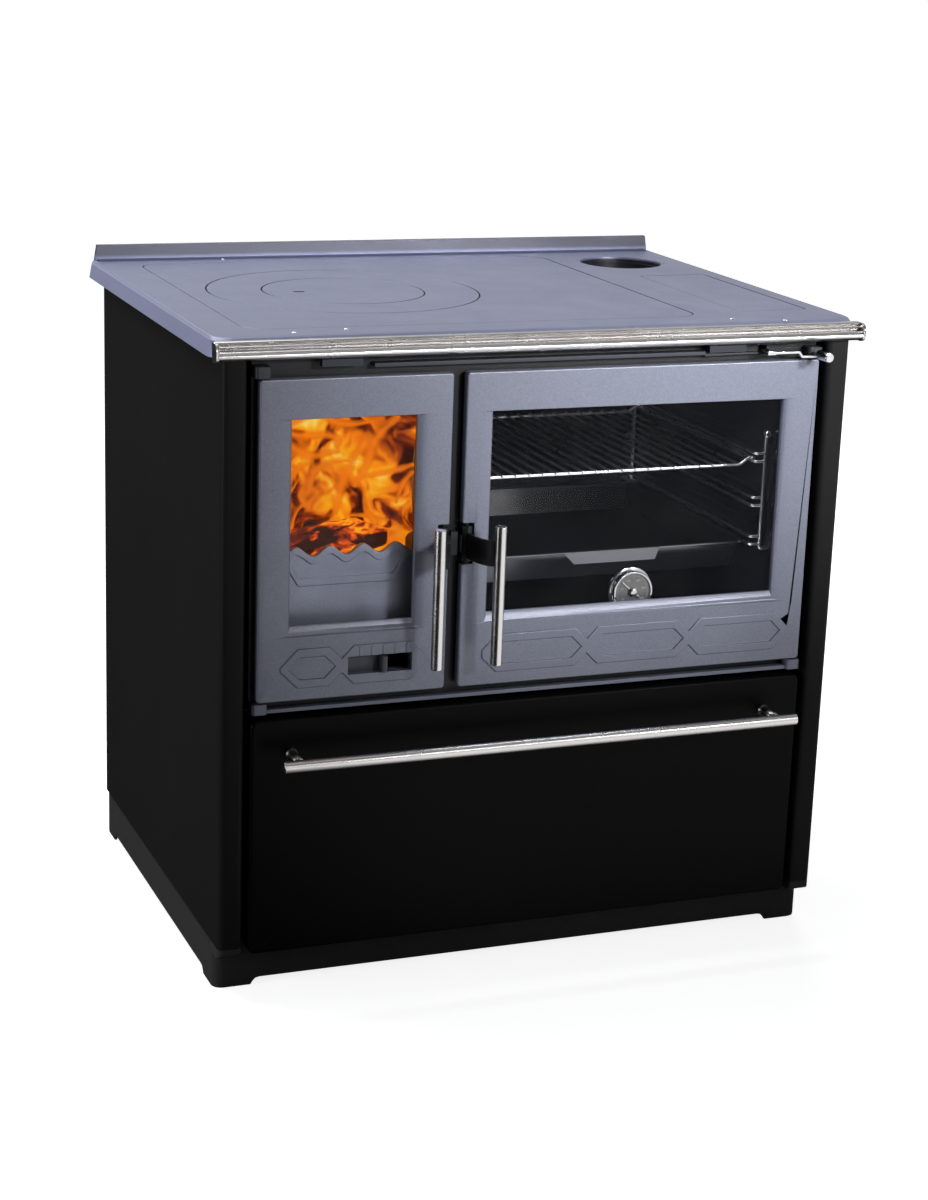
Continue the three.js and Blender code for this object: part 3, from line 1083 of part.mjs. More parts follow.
// A wire bent along points in one plane, with mitred corners; normal is the plane's normal.
function wire(points, radius, normal, sides = 5) {
  const path = points.map(([x, y, z]) => new THREE.Vector3(x, y, z));
  const up = new THREE.Vector3(...normal);
  const along = path.slice(1).map((point, i) => point.clone().sub(path[i]).normalize());
  const positions = [];
  path.forEach((point, i) => {
    const before = along[Math.max(i - 1, 0)];
    const after = along[Math.min(i, along.length - 1)];
    const side = up.clone().cross(before.clone().add(after).normalize());
    side.divideScalar(Math.cos(before.angleTo(after) / 2));
    for (let k = 0; k < sides; k += 1) {
      const angle = (k / sides) * 2 * Math.PI;
      const corner = point.clone().addScaledVector(side, radius * Math.cos(angle));
      positions.push(...corner.addScaledVector(up, radius * Math.sin(angle)));
    }
  });
  const faces = [];
  for (let i = 0; i < path.length - 1; i += 1) {
    for (let k = 0; k < sides; k += 1) {
      const a = i * sides + k;
      const b = i * sides + (k + 1) % sides;
      faces.push(a, b, b + sides, a, b + sides, a + sides);
    }
  }
  const last = (path.length - 1) * sides;
  for (let k = 1; k < sides - 1; k += 1) faces.push(0, k + 1, k, last, last + k, last + k + 1);
  const geometry = new THREE.BufferGeometry();
  geometry.setAttribute('position', new THREE.Float32BufferAttribute(positions, 3));
  geometry.setIndex(faces);
  return toSolid(geometry);
}

// The chromed ladder on an oven wall: two uprights hooked to the wall, and pairs of rails that
// stand off from them.
function ovenGuide(wallX, inward) {
  const x = wallX + inward * GUIDE_INSET;
  const rail = x + inward * GUIDE_REACH;
  const bottom = GUIDE_LEVELS[0] - GUIDE_PAIR / 2 - 10;
  const top = GUIDE_LEVELS[2] + GUIDE_PAIR / 2 + 28;
  const pieces = [];
  for (const y of [GUIDE_FRONT, GUIDE_BACK]) {
    const hookX = inward > 0 ? wallX + GAP : x;
    const hook = (z) => pin('x', [hookX, y, z], GUIDE_UPRIGHT - 0.5, GUIDE_INSET - GAP, 6);
    pieces.push(pin('z', [x, y, bottom], GUIDE_UPRIGHT, top - bottom, 6), hook(top - 3), hook(bottom + 4),
      turned('y', [x, y - 6, top], [[0, 0], [3.6, 0], [4.8, 1.5], [4.8, 6], [0, 6]], 10));
  }
  for (const level of GUIDE_LEVELS) {
    for (const z of [level - GUIDE_PAIR / 2, level + GUIDE_PAIR / 2]) {
      pieces.push(wire([
        [x, GUIDE_FRONT, z], [rail, GUIDE_FRONT, z], [rail, GUIDE_BACK, z], [x, GUIDE_BACK, z],
      ], GUIDE_WIRE, [0, 0, 1]));
    }
  }
  return join(...pieces);
}

const railX = (side) => (side > 0
  ? OVEN_RIGHT - GUIDE_INSET - GUIDE_REACH : OVEN_LEFT + GUIDE_INSET + GUIDE_REACH);

// The oven shelf: a frame of thicker rods that drops between its side rails, with thin bars
// welded across it from front to back.
function wireShelf() {
  const level = GUIDE_LEVELS[2] - GUIDE_PAIR / 2 + GUIDE_WIRE + SHELF_FRAME + GAP;
  const low = level - SHELF_DROP;
  const left = railX(-1) - 1;
  const right = railX(1) + 1;
  const bend = [left + GUIDE_WIRE + SHELF_FRAME + 2, right - GUIDE_WIRE - SHELF_FRAME - 2];
  const crossRod = (y) => wire([
    [left, y, level], [bend[0], y, level], [bend[0] + SHELF_RISE, y, low],
    [bend[1] - SHELF_RISE, y, low], [bend[1], y, level], [right, y, level],
  ], SHELF_FRAME, [0, 1, 0]);
  const length = SHELF_BACK - SHELF_FRONT + 8;
  const sideRod = (x) => pin('y', [x, SHELF_FRONT - 4, level], SHELF_FRAME, length, 6);
  const first = bend[0] + SHELF_RISE + 4;
  const last = bend[1] - SHELF_RISE - 4;
  const bars = [];
  for (let i = 0; i < SHELF_COUNT; i += 1) {
    const x = first + ((last - first) * i) / (SHELF_COUNT - 1);
    bars.push(pin('y', [x, SHELF_FRONT - 4, low + SHELF_WIRE], SHELF_WIRE, length, 4));
  }
  return join(crossRod(SHELF_FRONT), crossRod(SHELF_BACK), sideRod(left), sideRod(right), ...bars);
}

// The baking tray: sloping walls, flanges that rest on the lowest rails, and a bright bent lip
// at the front and the back.
function bakingTray() {
  const level = GUIDE_LEVELS[0] - GUIDE_PAIR / 2 + GUIDE_WIRE + GAP;
  const left = railX(-1) - GUIDE_WIRE - 1;
  const right = railX(1) + GUIDE_WIRE + 1;
  const wallLeft = left + 10;
  const wallRight = right - 10;
  const tray = pan(wallLeft, wallRight, SHELF_FRONT, SHELF_BACK, level - TRAY_DEPTH, level + TRAY_SHEET,
    12, TRAY_SHEET, 3);
  const flange = (x0, x1) => block(x0, x1, SHELF_FRONT + 12, SHELF_BACK - 12, level, level + TRAY_SHEET);
  const middle = (wallLeft + wallRight) / 2;
  const rim = SHELF_FRONT - 3;
  const section = polygon([
    [rim + 2, level], [rim + 2, level + TRAY_SHEET], [rim - 1, level + TRAY_SHEET],
    [rim - 11, level - 12], [rim - 9, level - 12.5], [rim, level],
  ]);
  const face = polygon([
    [middle - 57, level - 14], [middle + 57, level - 14], [middle + 71, level + 3], [middle - 71, level + 3],
  ]);
  const lip = extrude('x', section, middle - 80, middle + 80).intersect(
    extrude('y', face, rim - 14, rim + 4));
  return join(tray, flange(left, wallLeft + 2), flange(wallRight - 2, right), lip);
}

// ---------------------------------------------------------------- oven thermometer

// A flanged can with a bezel round its sunk dial, on a foot that stands on the back of the door.
function thermometerCase() {
  const r = DIAL_RADIUS;
  const back = DIAL_DEPTH;
  const can = turned('y', [DIAL_X, DIAL_FRONT, DIAL_Z], [
    [0, 3], [r - 4, 3], [r - 3, 0.8], [r - 1.5, 0], [r, 1], [r, back - 3], [DIAL_FLANGE - 0.6, back - 3],
    [DIAL_FLANGE, back - 2], [DIAL_FLANGE, back], [9, back], [8, back + 6], [0, back + 6],
  ], 24);
  const foot = block(DIAL_X - 9, DIAL_X + 9, DOOR_THICKNESS + GAP, DIAL_FRONT + 6,
    DIAL_Z - DIAL_RADIUS - 16, DIAL_Z - DIAL_RADIUS + 2.5);
  return join(can, foot);
}

function thermometerNeedle() {
  const hub = turned('y', [DIAL_X, DIAL_FRONT - 1.4, DIAL_Z], [
    [0, 0], [4.6, 0], [6.2, 1.2], [6.2, 2.8], [4, 4.1], [0, 4.1],
  ], 16);
  const hand = extrude('y', polygon([
    [-2, -12], [2, -12], [1.6, 0], [0.6, 22], [-0.6, 22], [-1.6, 0],
  ]), 0, 1.2).rotate([0, DIAL_ANGLE, 0]).translate([DIAL_X, DIAL_FRONT + 1.2, DIAL_Z]);
  return hub.add(hand);
}

// ---------------------------------------------------------------- drawer

// The drawer front: a sheet pan with rounded edges, open behind.
function drawerFront() {
  const outer = extrude('y', shapeOf(roundedRect(-DRAWER_HALF, DRAWER_HALF, DRAWER_BOTTOM, DRAWER_TOP,
    DRAWER_CORNER, 4)), 0, DRAWER_FOLD + 4, 4);
  const trimmed = outer.subtract(block(-DRAWER_HALF - 1, DRAWER_HALF + 1, DRAWER_FOLD, DRAWER_FOLD + 5,
    DRAWER_BOTTOM - 1, DRAWER_TOP + 1));
  const wall = SHEET + 0.5;
  return trimmed.subtract(extrude('y', shapeOf(roundedRect(-DRAWER_HALF + wall, DRAWER_HALF - wall,
    DRAWER_BOTTOM + wall, DRAWER_TOP - wall, DRAWER_CORNER - wall, 3)), wall, DRAWER_FOLD + 1));
}

// The open box of folded sheet with a turned-out rim; the plate in front closes it.
function drawerBox() {
  const from = DRAWER_FOLD + SHEET + 2 * GAP;
  const bottom = RUNNER_TOP + GAP;
  const half = DRAWER_BOX_HALF;
  return cut(
    join(block(-half, half, from, DRAWER_BOX_BACK, bottom, DRAWER_BOX_TOP),
      block(-half - 6, half + 6, from, DRAWER_BOX_BACK + 6, DRAWER_BOX_TOP - 2, DRAWER_BOX_TOP)),
    block(-half + SHEET, half - SHEET, from - 1, DRAWER_BOX_BACK - SHEET,
      bottom + SHEET, DRAWER_BOX_TOP + 1),
  );
}

// The plate that the drawer front is screwed to.
const drawerPlate = () => block(-DRAWER_HALF + 6, DRAWER_HALF - 6, DRAWER_FOLD + GAP,
  DRAWER_FOLD + GAP + SHEET, RUNNER_TOP + GAP, DRAWER_TOP - 8);

function drawerRunner() {
  const floor = PANEL_BOTTOM + 2.5 + GAP;
  const side = DRAWER_BOX_HALF + 1;
  const section = polygon([
    [side - 28, floor], [side + 3, floor], [side + 3, RUNNER_TOP + 16], [side, RUNNER_TOP + 16],
    [side, RUNNER_TOP], [side - 28, RUNNER_TOP],
  ]);
  return extrude('y', section, COLUMN_RETURN + 4, BODY_DEPTH - 30);
}

// The bar handle on its two posts.
function drawerHandle() {
  const y = -BAR_FORWARD;
  const bar = turned('x', [-BAR_HALF, y, BAR_HEIGHT], [
    [0, 0], [BAR_RADIUS - 1.2, 0], [BAR_RADIUS, 1.2], [BAR_RADIUS, 2 * BAR_HALF - 1.2],
    [BAR_RADIUS - 1.2, 2 * BAR_HALF], [0, 2 * BAR_HALF],
  ], 20);
  const post = turned('y', [POST_X, y + 2, BAR_HEIGHT], [
    [0, 0], [POST_RADIUS - 1, 0], [POST_RADIUS - 1, BAR_FORWARD - 8], [POST_RADIUS + 1.5, BAR_FORWARD - 4],
    [POST_RADIUS + 1.5, BAR_FORWARD - 2 - GAP], [0, BAR_FORWARD - 2 - GAP],
  ], 16);
  return join(bar, post, mirrored(post));
}

// ---------------------------------------------------------------- flue damper

// The flat strap with its joggle down to the knob, and the long rod that it is welded to.
function damperRod() {
  const z = DAMPER_ROD_Z;
  const low = DAMPER_KNOB_Z - 3;
  const end = DAMPER_KNOB_X + DAMPER_KNOB_RADIUS - 1;
  const joggle = DAMPER_ROD_X + 39;
  const strap = extrude('y', polygon([
    [DAMPER_ROD_X - 6, z - 2.5], [DAMPER_ROD_X + 6, z - 2.5], [DAMPER_ROD_X + 6, z - 1.5], [joggle, z - 1.5],
    [joggle + 5, low - 1.5], [end, low - 1.5], [end, low + 1.5], [joggle + 6.5, low + 1.5],
    [joggle + 1.5, z + 1.5], [DAMPER_ROD_X + 6, z + 1.5], [DAMPER_ROD_X + 6, z + 2.5],
    [DAMPER_ROD_X - 6, z + 2.5],
  ]), -10, -1.5);
  const reach = FLUE_Y - DAMPER_PLATE / 2 - GAP + 2;
  return join(strap, pin('y', [DAMPER_ROD_X, -2, z], DAMPER_ROD_RADIUS, reach, 12));
}

const damperKnob = () => turned('y', [DAMPER_KNOB_X, -DAMPER_KNOB_FRONT, DAMPER_KNOB_Z], [
  [0, 0], [DAMPER_KNOB_RADIUS - 1.5, 0], [DAMPER_KNOB_RADIUS, 1.5],
  [DAMPER_KNOB_RADIUS, DAMPER_KNOB_FRONT - 14], [DAMPER_KNOB_RADIUS - 1.5, DAMPER_KNOB_FRONT - 10 - GAP],
  [0, DAMPER_KNOB_FRONT - 10 - GAP],
], 20);

// The valve plate that slides under the flue collar, with the lug that holds the rod.
function damperPlate() {
  const half = DAMPER_PLATE / 2;
  const y = FLUE_Y - half;
  return join(
    extrude('z', shapeOf(roundedRect(FLUE_X - half, FLUE_X + half, y, y + DAMPER_PLATE, 8, 2)),
      DAMPER_PLATE_TOP - 4, DAMPER_PLATE_TOP),
    block(DAMPER_ROD_X - 6, DAMPER_ROD_X + 6, y, y + 3, DAMPER_PLATE_TOP - 1, DAMPER_ROD_Z + 6));
}

// ---------------------------------------------------------------- the stove

const stove = new THREE.Group();
stove.position.y = CENTRE_SHIFT;

function group(name, ...meshes) {
  const assembly = new THREE.Group();
  assembly.name = name;
  assembly.add(...meshes);
  stove.add(assembly);
  return assembly;
}

group('casing',
  toMesh('plinth', plinth(), plinthPaint),
  toMesh('floor_plate', floorPlate(), darkSteel),
  toMesh('corner_cap_right', cornerCap(), plinthPaint),
  toMesh('corner_cap_left', mirrored(cornerCap()), plinthPaint),
  toMesh('side_panel_right', sidePanel(), sideEnamel),
  toMesh('side_panel_left', mirrored(sidePanel()), sideEnamel),
  toMesh('back_panel', backPanel(), darkSteel),
  toMesh('front_frame', frontFrame(), castIron),
  toMesh('latch_keeper', latchKeeper(), darkSteel),
  toMesh('firebox_hinge_rod', hingeRod(FIREBOX_DOOR_LEFT + HINGE_INSET), darkSteel),
  toMesh('oven_hinge_rod', hingeRod(OVEN_DOOR_RIGHT - HINGE_INSET), darkSteel),
  toMesh('heat_shield', heatShield(), darkSteel),
);

group('cooking_top',
  toMesh('top_frame', topFrame(), topIron),
  toMesh('front_rail', frontRail(), stainless),
  toMesh('flue_collar', flueCollar(), castIron),
  toMesh('flue_clamp', flueClamp(), stainless),
  toMesh('hotplate', hotplate(), topIron),
  toMesh('hotplate_ring', hotplateRing(), topIron),
  toMesh('hotplate_disc', hotplateDisc(), topIron),
  toMesh('soot_cover', sootCover(), topIron),
);

group('firebox',
  toMesh('firebox_shell', fireboxShell(), darkSteel),
  toMesh('firebox_lining_left', liningLeft(), castIron),
  toMesh('firebox_lining_right', liningRight(), castIron),
  toMesh('firebox_lining_rear', liningRear(), castIron),
  toMesh('fire_grate', fireGrate(), castIron),
  toMesh('fire_guard', fireGuard(), castIron),
  toMesh('ash_pan', ashPan(), darkSteel),
  toMesh('smoke_box', smokeBox(), darkSteel),
);

group('oven',
  toMesh('oven_box', ovenBox(), ovenEnamel),
  toMesh('oven_guide_left', ovenGuide(OVEN_LEFT, 1), chrome),
  toMesh('oven_guide_right', ovenGuide(OVEN_RIGHT, -1), chrome),
  toMesh('wire_shelf', wireShelf(), chrome),
  toMesh('baking_tray', bakingTray(), ovenEnamel),
);

group('firebox_door_assembly',
  toMesh('firebox_door', fireboxDoor(), castIron),
  toMesh('firebox_glass', doorGlass(FIREBOX_WINDOW_LEFT, FIREBOX_WINDOW_RIGHT), clearGlass),
  toMesh('firebox_glass_retainer', glassRetainer(FIREBOX_WINDOW_LEFT, FIREBOX_WINDOW_RIGHT), darkSteel),
  toMesh('firebox_door_seal', doorSeal(FIREBOX_SEAL), ropeSeal),
  toMesh('firebox_handle_pin', handlePin(FIREBOX_PIVOT_X), blackIron),
  toMesh('air_slide', airSlide(), castIron),
  toMesh('air_slide_keeper', airSlideKeeper(), darkSteel),
);

group('oven_door_assembly',
  toMesh('oven_door', ovenDoor(), castIron),
  toMesh('oven_glass', doorGlass(OVEN_WINDOW_LEFT, OVEN_WINDOW_RIGHT), clearGlass),
  toMesh('oven_glass_retainer', glassRetainer(OVEN_WINDOW_LEFT, OVEN_WINDOW_RIGHT), darkSteel),
  toMesh('oven_door_seal', doorSeal(OVEN_SEAL), ropeSeal),
  toMesh('oven_handle_pin', handlePin(OVEN_PIVOT_X), blackIron),
  toMesh('thermometer_case', thermometerCase(), chrome),
  toMesh('thermometer_needle', thermometerNeedle(), chrome),
);

const fireboxHandle = group('firebox_handle',
  toMesh('firebox_handle_lever', handleLever(), blackIron),
  toMesh('firebox_handle_rod', handleRod(), stainless),
);
fireboxHandle.position.set(FIREBOX_PIVOT_X, HANDLE_PIVOT_DEPTH, 0);

const ovenHandle = group('oven_handle',
  toMesh('oven_handle_lever', mirrored(handleLever()), blackIron),
  toMesh('oven_handle_rod', mirrored(handleRod()), stainless),
);
ovenHandle.position.set(OVEN_PIVOT_X, HANDLE_PIVOT_DEPTH, 0);

group('wood_drawer',
  toMesh('drawer_front', drawerFront(), blackEnamel),
  toMesh('drawer_box', drawerBox(), darkSteel),
  toMesh('drawer_plate', drawerPlate(), darkSteel),
  toMesh('drawer_handle', drawerHandle(), stainless),
  toMesh('drawer_runner_right', drawerRunner(), darkSteel),
  toMesh('drawer_runner_left', mirrored(drawerRunner()), darkSteel),
);

group('flue_damper',
  toMesh('damper_rod', damperRod(), darkSteel),
  toMesh('damper_knob', damperKnob(), chrome),
  toMesh('damper_plate', damperPlate(), darkSteel),
);

export default stove;
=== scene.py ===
# A free-standing wood-burning cookstove: cast-iron cooking top over a glazed firebox and a glazed
# oven, a wood drawer below, and a sheet-steel casing on a plinth.
import math
import random

import bmesh
import bpy
from bpy.props import FloatProperty, FloatVectorProperty, IntProperty, PointerProperty
from bpy.types import Operator, Panel, PropertyGroup
from mathutils import Matrix, Vector, noise


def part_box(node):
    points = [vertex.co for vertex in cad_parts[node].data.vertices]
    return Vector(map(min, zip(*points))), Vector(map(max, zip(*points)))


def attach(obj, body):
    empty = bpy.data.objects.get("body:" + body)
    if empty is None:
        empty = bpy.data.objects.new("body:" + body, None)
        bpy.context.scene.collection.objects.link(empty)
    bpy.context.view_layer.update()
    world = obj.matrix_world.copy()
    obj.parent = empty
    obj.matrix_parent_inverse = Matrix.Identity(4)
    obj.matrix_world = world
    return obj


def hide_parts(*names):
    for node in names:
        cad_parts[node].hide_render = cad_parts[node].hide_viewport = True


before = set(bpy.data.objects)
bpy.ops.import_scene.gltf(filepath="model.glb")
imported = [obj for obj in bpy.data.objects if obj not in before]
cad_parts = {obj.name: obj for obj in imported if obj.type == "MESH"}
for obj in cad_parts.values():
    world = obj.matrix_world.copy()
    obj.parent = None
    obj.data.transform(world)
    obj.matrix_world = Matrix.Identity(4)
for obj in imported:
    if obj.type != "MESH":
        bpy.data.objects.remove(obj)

bl_info = {
    "name": "Wood cookstove",
    "version": (1, 0, 0),
    "blender": (4, 5, 0),
    "location": "View3D > Sidebar > Cookstove",
    "description": "Dresses a wood-burning cookstove, with its fire, oven and studio",
    "category": "Add Mesh",
}

DEPTH_ORIGIN = 0.29775              # the door faces are this far in front of the origin
IMAGE_LONG_SIDE = 1200


def depth(value):
    """The y of a point that lies so far behind the door faces."""
    return value - DEPTH_ORIGIN


def colour(name, description, rgb):
    return FloatVectorProperty(name=name, description=description, default=rgb, size=3,
                               min=0.0, max=1.0, subtype="COLOR")


def length(name, description, metres):
    return FloatProperty(name=name, description=description, default=metres, min=0.0,
                         unit="LENGTH", subtype="DISTANCE", precision=4)


def share(name, description, value):
    return FloatProperty(name=name, description=description, default=value, min=0.0, max=1.0,
                         subtype="FACTOR")


def power(name, description, watts):
    return FloatProperty(name=name, description=description, default=watts, min=0.0,
                         unit="POWER")


# ---------------------------------------------------------------- settings


class IronSettings(PropertyGroup):
    door: colour("Doors", "Paint of the cast doors and frame", (0.225, 0.238, 0.305))
    top: colour("Cooking top", "Tempered face of the cooking top", (0.2, 0.215, 0.325))
    black: colour("Handle levers", "Paint of the handle levers", (0.012, 0.012, 0.014))
    burnt: colour("Fire iron", "Iron inside the firebox", (0.09, 0.07, 0.06))
    splash: colour("Splash edge", "Ground face of the upstand behind the top", (0.1, 0.102, 0.13))
    grain: length("Casting grain", "Size of the grain in the castings", 0.0015)
    grain_depth: length("Grain depth", "Height of the casting grain", 0.00013)


class SheetSettings(PropertyGroup):
    side: colour("Side panels", "Enamel of the side panels and columns", (0.019, 0.019, 0.0195))
    front: colour("Drawer front", "Enamel of the drawer front", (0.0052, 0.0052, 0.0052))
    oven: colour("Oven", "Enamel inside the oven", (0.004, 0.004, 0.0062))
    plinth: colour("Plinth", "Textured paint of the plinth", (0.04, 0.04, 0.04))
    steel: colour("Inner steel", "Heat-proof paint of hidden sheets", (0.03, 0.031, 0.035))


class SteelSettings(PropertyGroup):
    stainless: colour("Stainless steel", "Rail, rods and bar", (0.62, 0.605, 0.595))
    chrome: colour("Chrome", "Oven wires, dial and knob", (0.8, 0.8, 0.82))
    wear: share("Brushing", "Strength of the brush lines", 0.35)


class OvenSettings(PropertyGroup):
    bars: IntProperty(name="Shelf bars", description="Bars across the wire shelf", default=20,
                      min=2, max=60)
    bar_radius: length("Bar radius", "Thin wires of the shelf", 0.0015)
    wire_radius: length("Wire radius", "Ladder wires and shelf frame", 0.0021)
    corner: length("Wire corner", "Bend radius of the wires", 0.005)
    light: power("Oven light", "Power of the light inside the oven", 0.55)
    ticks: IntProperty(name="Dial ticks", description="Marks round the dial", default=31, min=3,
                       max=91)


class FireSettings(PropertyGroup):
    hot: colour("Hottest flame", "Colour at the heart of a flame", (1.0, 0.72, 0.14))
    bright: colour("Bright flame", "Colour of the thick flames", (1.0, 0.4, 0.006))
    middle: colour("Flame", "Colour of the thin flames", (0.93, 0.19, 0.002))
    dull: colour("Glow", "Colour between the flames", (0.22, 0.022, 0.001))
    dark: colour("Smoke", "Darkest places in the fire", (0.035, 0.004, 0.001))
    light: power("Fire light", "Power of the lamp inside the fire", 1.2)


class StageSettings(PropertyGroup):
    floor: colour("Floor", "Pale studio floor", (0.86, 0.86, 0.86))
    sky: FloatProperty(name="Soft light", description="Even light from all round", default=0.035,
                       min=0.0)
    upper: power("Upper spot", "Spot on the upper edge of the doors", 144.0)
    right: power("Right spot", "Spot on the oven door", 77.0)
    overhead: power("Overhead lamp", "Large lamp above the top", 75.0)
    side: power("Side lamp", "Low lamp at the left", 14.0)
    key: power("Front lamp", "Large lamp at the front right", 5.0)
    rear: power("Rear lamp", "Large lamp behind the stove", 30.0)


class CookstoveSettings(PropertyGroup):
    iron: PointerProperty(type=IronSettings)
    sheet: PointerProperty(type=SheetSettings)
    steel: PointerProperty(type=SteelSettings)
    oven: PointerProperty(type=OvenSettings)
    fire: PointerProperty(type=FireSettings)
    stage: PointerProperty(type=StageSettings)


def settings():
    return bpy.context.scene.cookstove


# ---------------------------------------------------------------- shader building


def put(tree, kind, values=None, **options):
    """Adds a node. Values go to its inputs by name or number: a socket is linked, the rest set."""
    made = tree.nodes.new(kind)
    for key, value in options.items():
        setattr(made, key, value)
    for key, value in (values or {}).items():
        if isinstance(value, bpy.types.NodeSocket):
            tree.links.new(value, made.inputs[key])
        else:
            made.inputs[key].default_value = value
    return made


def math_node(tree, operation, *values, clamp=False):
    return put(tree, "ShaderNodeMath", dict(enumerate(values)), operation=operation,
               use_clamp=clamp).outputs[0]


def ramp(tree, source, stops, interpolation="LINEAR"):
    """A colour ramp over (position, colour) stops; a single number stands for a grey."""
    made = put(tree, "ShaderNodeValToRGB", {"Fac": source})
    made.color_ramp.interpolation = interpolation
    elements = made.color_ramp.elements
    while len(elements) < len(stops):
        elements.new(0.5)
    for element, (position, value) in zip(elements, stops):
        element.position = position
        rgb = value if hasattr(value, "__len__") else (value, value, value)
        element.color = (*rgb, 1.0)
    return made.outputs["Color"]


def spread(tree, source, low, high, from_low=0.0, from_high=1.0):
    return put(tree, "ShaderNodeMapRange", {
        "Value": source, "From Min": from_low, "From Max": from_high, "To Min": low, "To Max": high,
    }).outputs["Result"]


def blend_colour(tree, factor, first, second, blend_type="MIX"):
    made = put(tree, "ShaderNodeMix", data_type="RGBA", blend_type=blend_type)
    for index, value in ((0, factor), (6, first), (7, second)):
        if isinstance(value, bpy.types.NodeSocket):
            tree.links.new(value, made.inputs[index])
        elif index == 0:
            made.inputs[index].default_value = value
        else:
            made.inputs[index].default_value = (*value, 1.0)
    return made.outputs[2]


def shader_group(name, inputs, outputs, build):
    """A shared effect: a node group with named inputs and outputs."""
    found = bpy.data.node_groups.get(name)
    if found:
        return found
    tree = bpy.data.node_groups.new(name, "ShaderNodeTree")
    for label, kind, default in inputs:
        socket = tree.interface.new_socket(label, in_out="INPUT", socket_type=kind)
        if default is not None:
            socket.default_value = default
    for label, kind in outputs:
        tree.interface.new_socket(label, in_out="OUTPUT", socket_type=kind)
    source = tree.nodes.new("NodeGroupInput")
    results = build(tree, source.outputs)
    target = tree.nodes.new("NodeGroupOutput")
    for label, socket in results.items():
        tree.links.new(socket, target.inputs[label])
    return tree


def casting_grain():
    """Sand-cast skin: fine pebbled grain, and a slow change of tone."""
    def build(tree, given):
        scale = math_node(tree, "DIVIDE", 1.0, given["Grain"])
        fine = put(tree, "ShaderNodeTexNoise", {
            "Vector": given["Vector"], "Scale": scale, "Detail": 2.0, "Roughness": 0.6})
        pebble = put(tree, "ShaderNodeTexVoronoi", {
            "Vector": given["Vector"], "Scale": math_node(tree, "MULTIPLY", scale, 0.55)},
            feature="SMOOTH_F1")
        slow = put(tree, "ShaderNodeTexNoise", {
            "Vector": given["Vector"], "Scale": 9.0, "Detail": 5.0, "Roughness": 0.65})
        height = math_node(tree, "SUBTRACT", fine.outputs["Fac"],
                           math_node(tree, "MULTIPLY", pebble.outputs["Distance"], 0.5))
        return {"Height": height, "Tone": slow.outputs["Fac"], "Speckle": fine.outputs["Fac"]}
    return shader_group("casting grain", [
        ("Vector", "NodeSocketVector", None), ("Grain", "NodeSocketFloat", 0.001),
    ], [("Height", "NodeSocketFloat"), ("Tone", "NodeSocketFloat"),
        ("Speckle", "NodeSocketFloat")], build)


def brush_lines():
    """Fine lines drawn out along one direction, as polishing leaves them."""
    def build(tree, given):
        drawn = put(tree, "ShaderNodeVectorMath", {0: given["Vector"], 1: given["Stretch"]},
                    operation="MULTIPLY")
        fine = put(tree, "ShaderNodeTexNoise", {
            "Vector": drawn.outputs[0], "Scale": 1.0, "Detail": 3.0, "Roughness": 0.7})
        wide = put(tree, "ShaderNodeTexNoise", {
            "Vector": given["Vector"], "Scale": 35.0, "Detail": 2.0})
        return {"Height": fine.outputs["Fac"], "Tone": wide.outputs["Fac"]}
    return shader_group("brush lines", [
        ("Vector", "NodeSocketVector", None), ("Stretch", "NodeSocketVector", (4.0, 900.0, 900.0)),
    ], [("Height", "NodeSocketFloat"), ("Tone", "NodeSocketFloat")], build)


def handling():
    """Where hands and cloths have been: broad smears that change the gloss."""
    def build(tree, given):
        wide = put(tree, "ShaderNodeTexNoise", {
            "Vector": given["Vector"], "Scale": 6.0, "Detail": 4.0, "Distortion": 0.6})
        fine = put(tree, "ShaderNodeTexNoise", {
            "Vector": given["Vector"], "Scale": 240.0, "Detail": 2.0})
        return {"Smear": wide.outputs["Fac"], "Ripple": fine.outputs["Fac"]}
    return shader_group("handling", [("Vector", "NodeSocketVector", None)],
                        [("Smear", "NodeSocketFloat"), ("Ripple", "NodeSocketFloat")], build)


def use_group(tree, group, values):
    return put(tree, "ShaderNodeGroup", values, node_tree=group).outputs


FINISHES = {}


def finish(name):
    """The named finish, made when it is first needed."""
    found = bpy.data.materials.get(name)
    return found or FINISHES[name](name)


def recipe(name):
    def keep(function):
        FINISHES[name] = function
        return function
    return keep


def start(name, **constants):
    """A new material with a Principled shader whose constants are set on its own sockets."""
    material = bpy.data.materials.new(name)
    material.use_nodes = True
    tree = material.node_tree
    tree.nodes.clear()
    shader = put(tree, "ShaderNodeBsdfPrincipled")
    for key, value in constants.items():
        socket = shader.inputs[key.replace("_", " ")]
        socket.default_value = (*value, 1.0) if hasattr(value, "__len__") else value
    out = tree.nodes.new("ShaderNodeOutputMaterial")
    tree.links.new(shader.outputs[0], out.inputs["Surface"])
    place = put(tree, "ShaderNodeTexCoord").outputs["Object"]
    return material, tree, shader, place


def bump(tree, shader, height, distance):
    made = put(tree, "ShaderNodeBump", {"Height": height, "Distance": distance, "Strength": 1.0})
    tree.links.new(made.outputs[0], shader.inputs["Normal"])


def scaled(rgb, factor):
    return tuple(min(1.0, value * factor) for value in rgb)


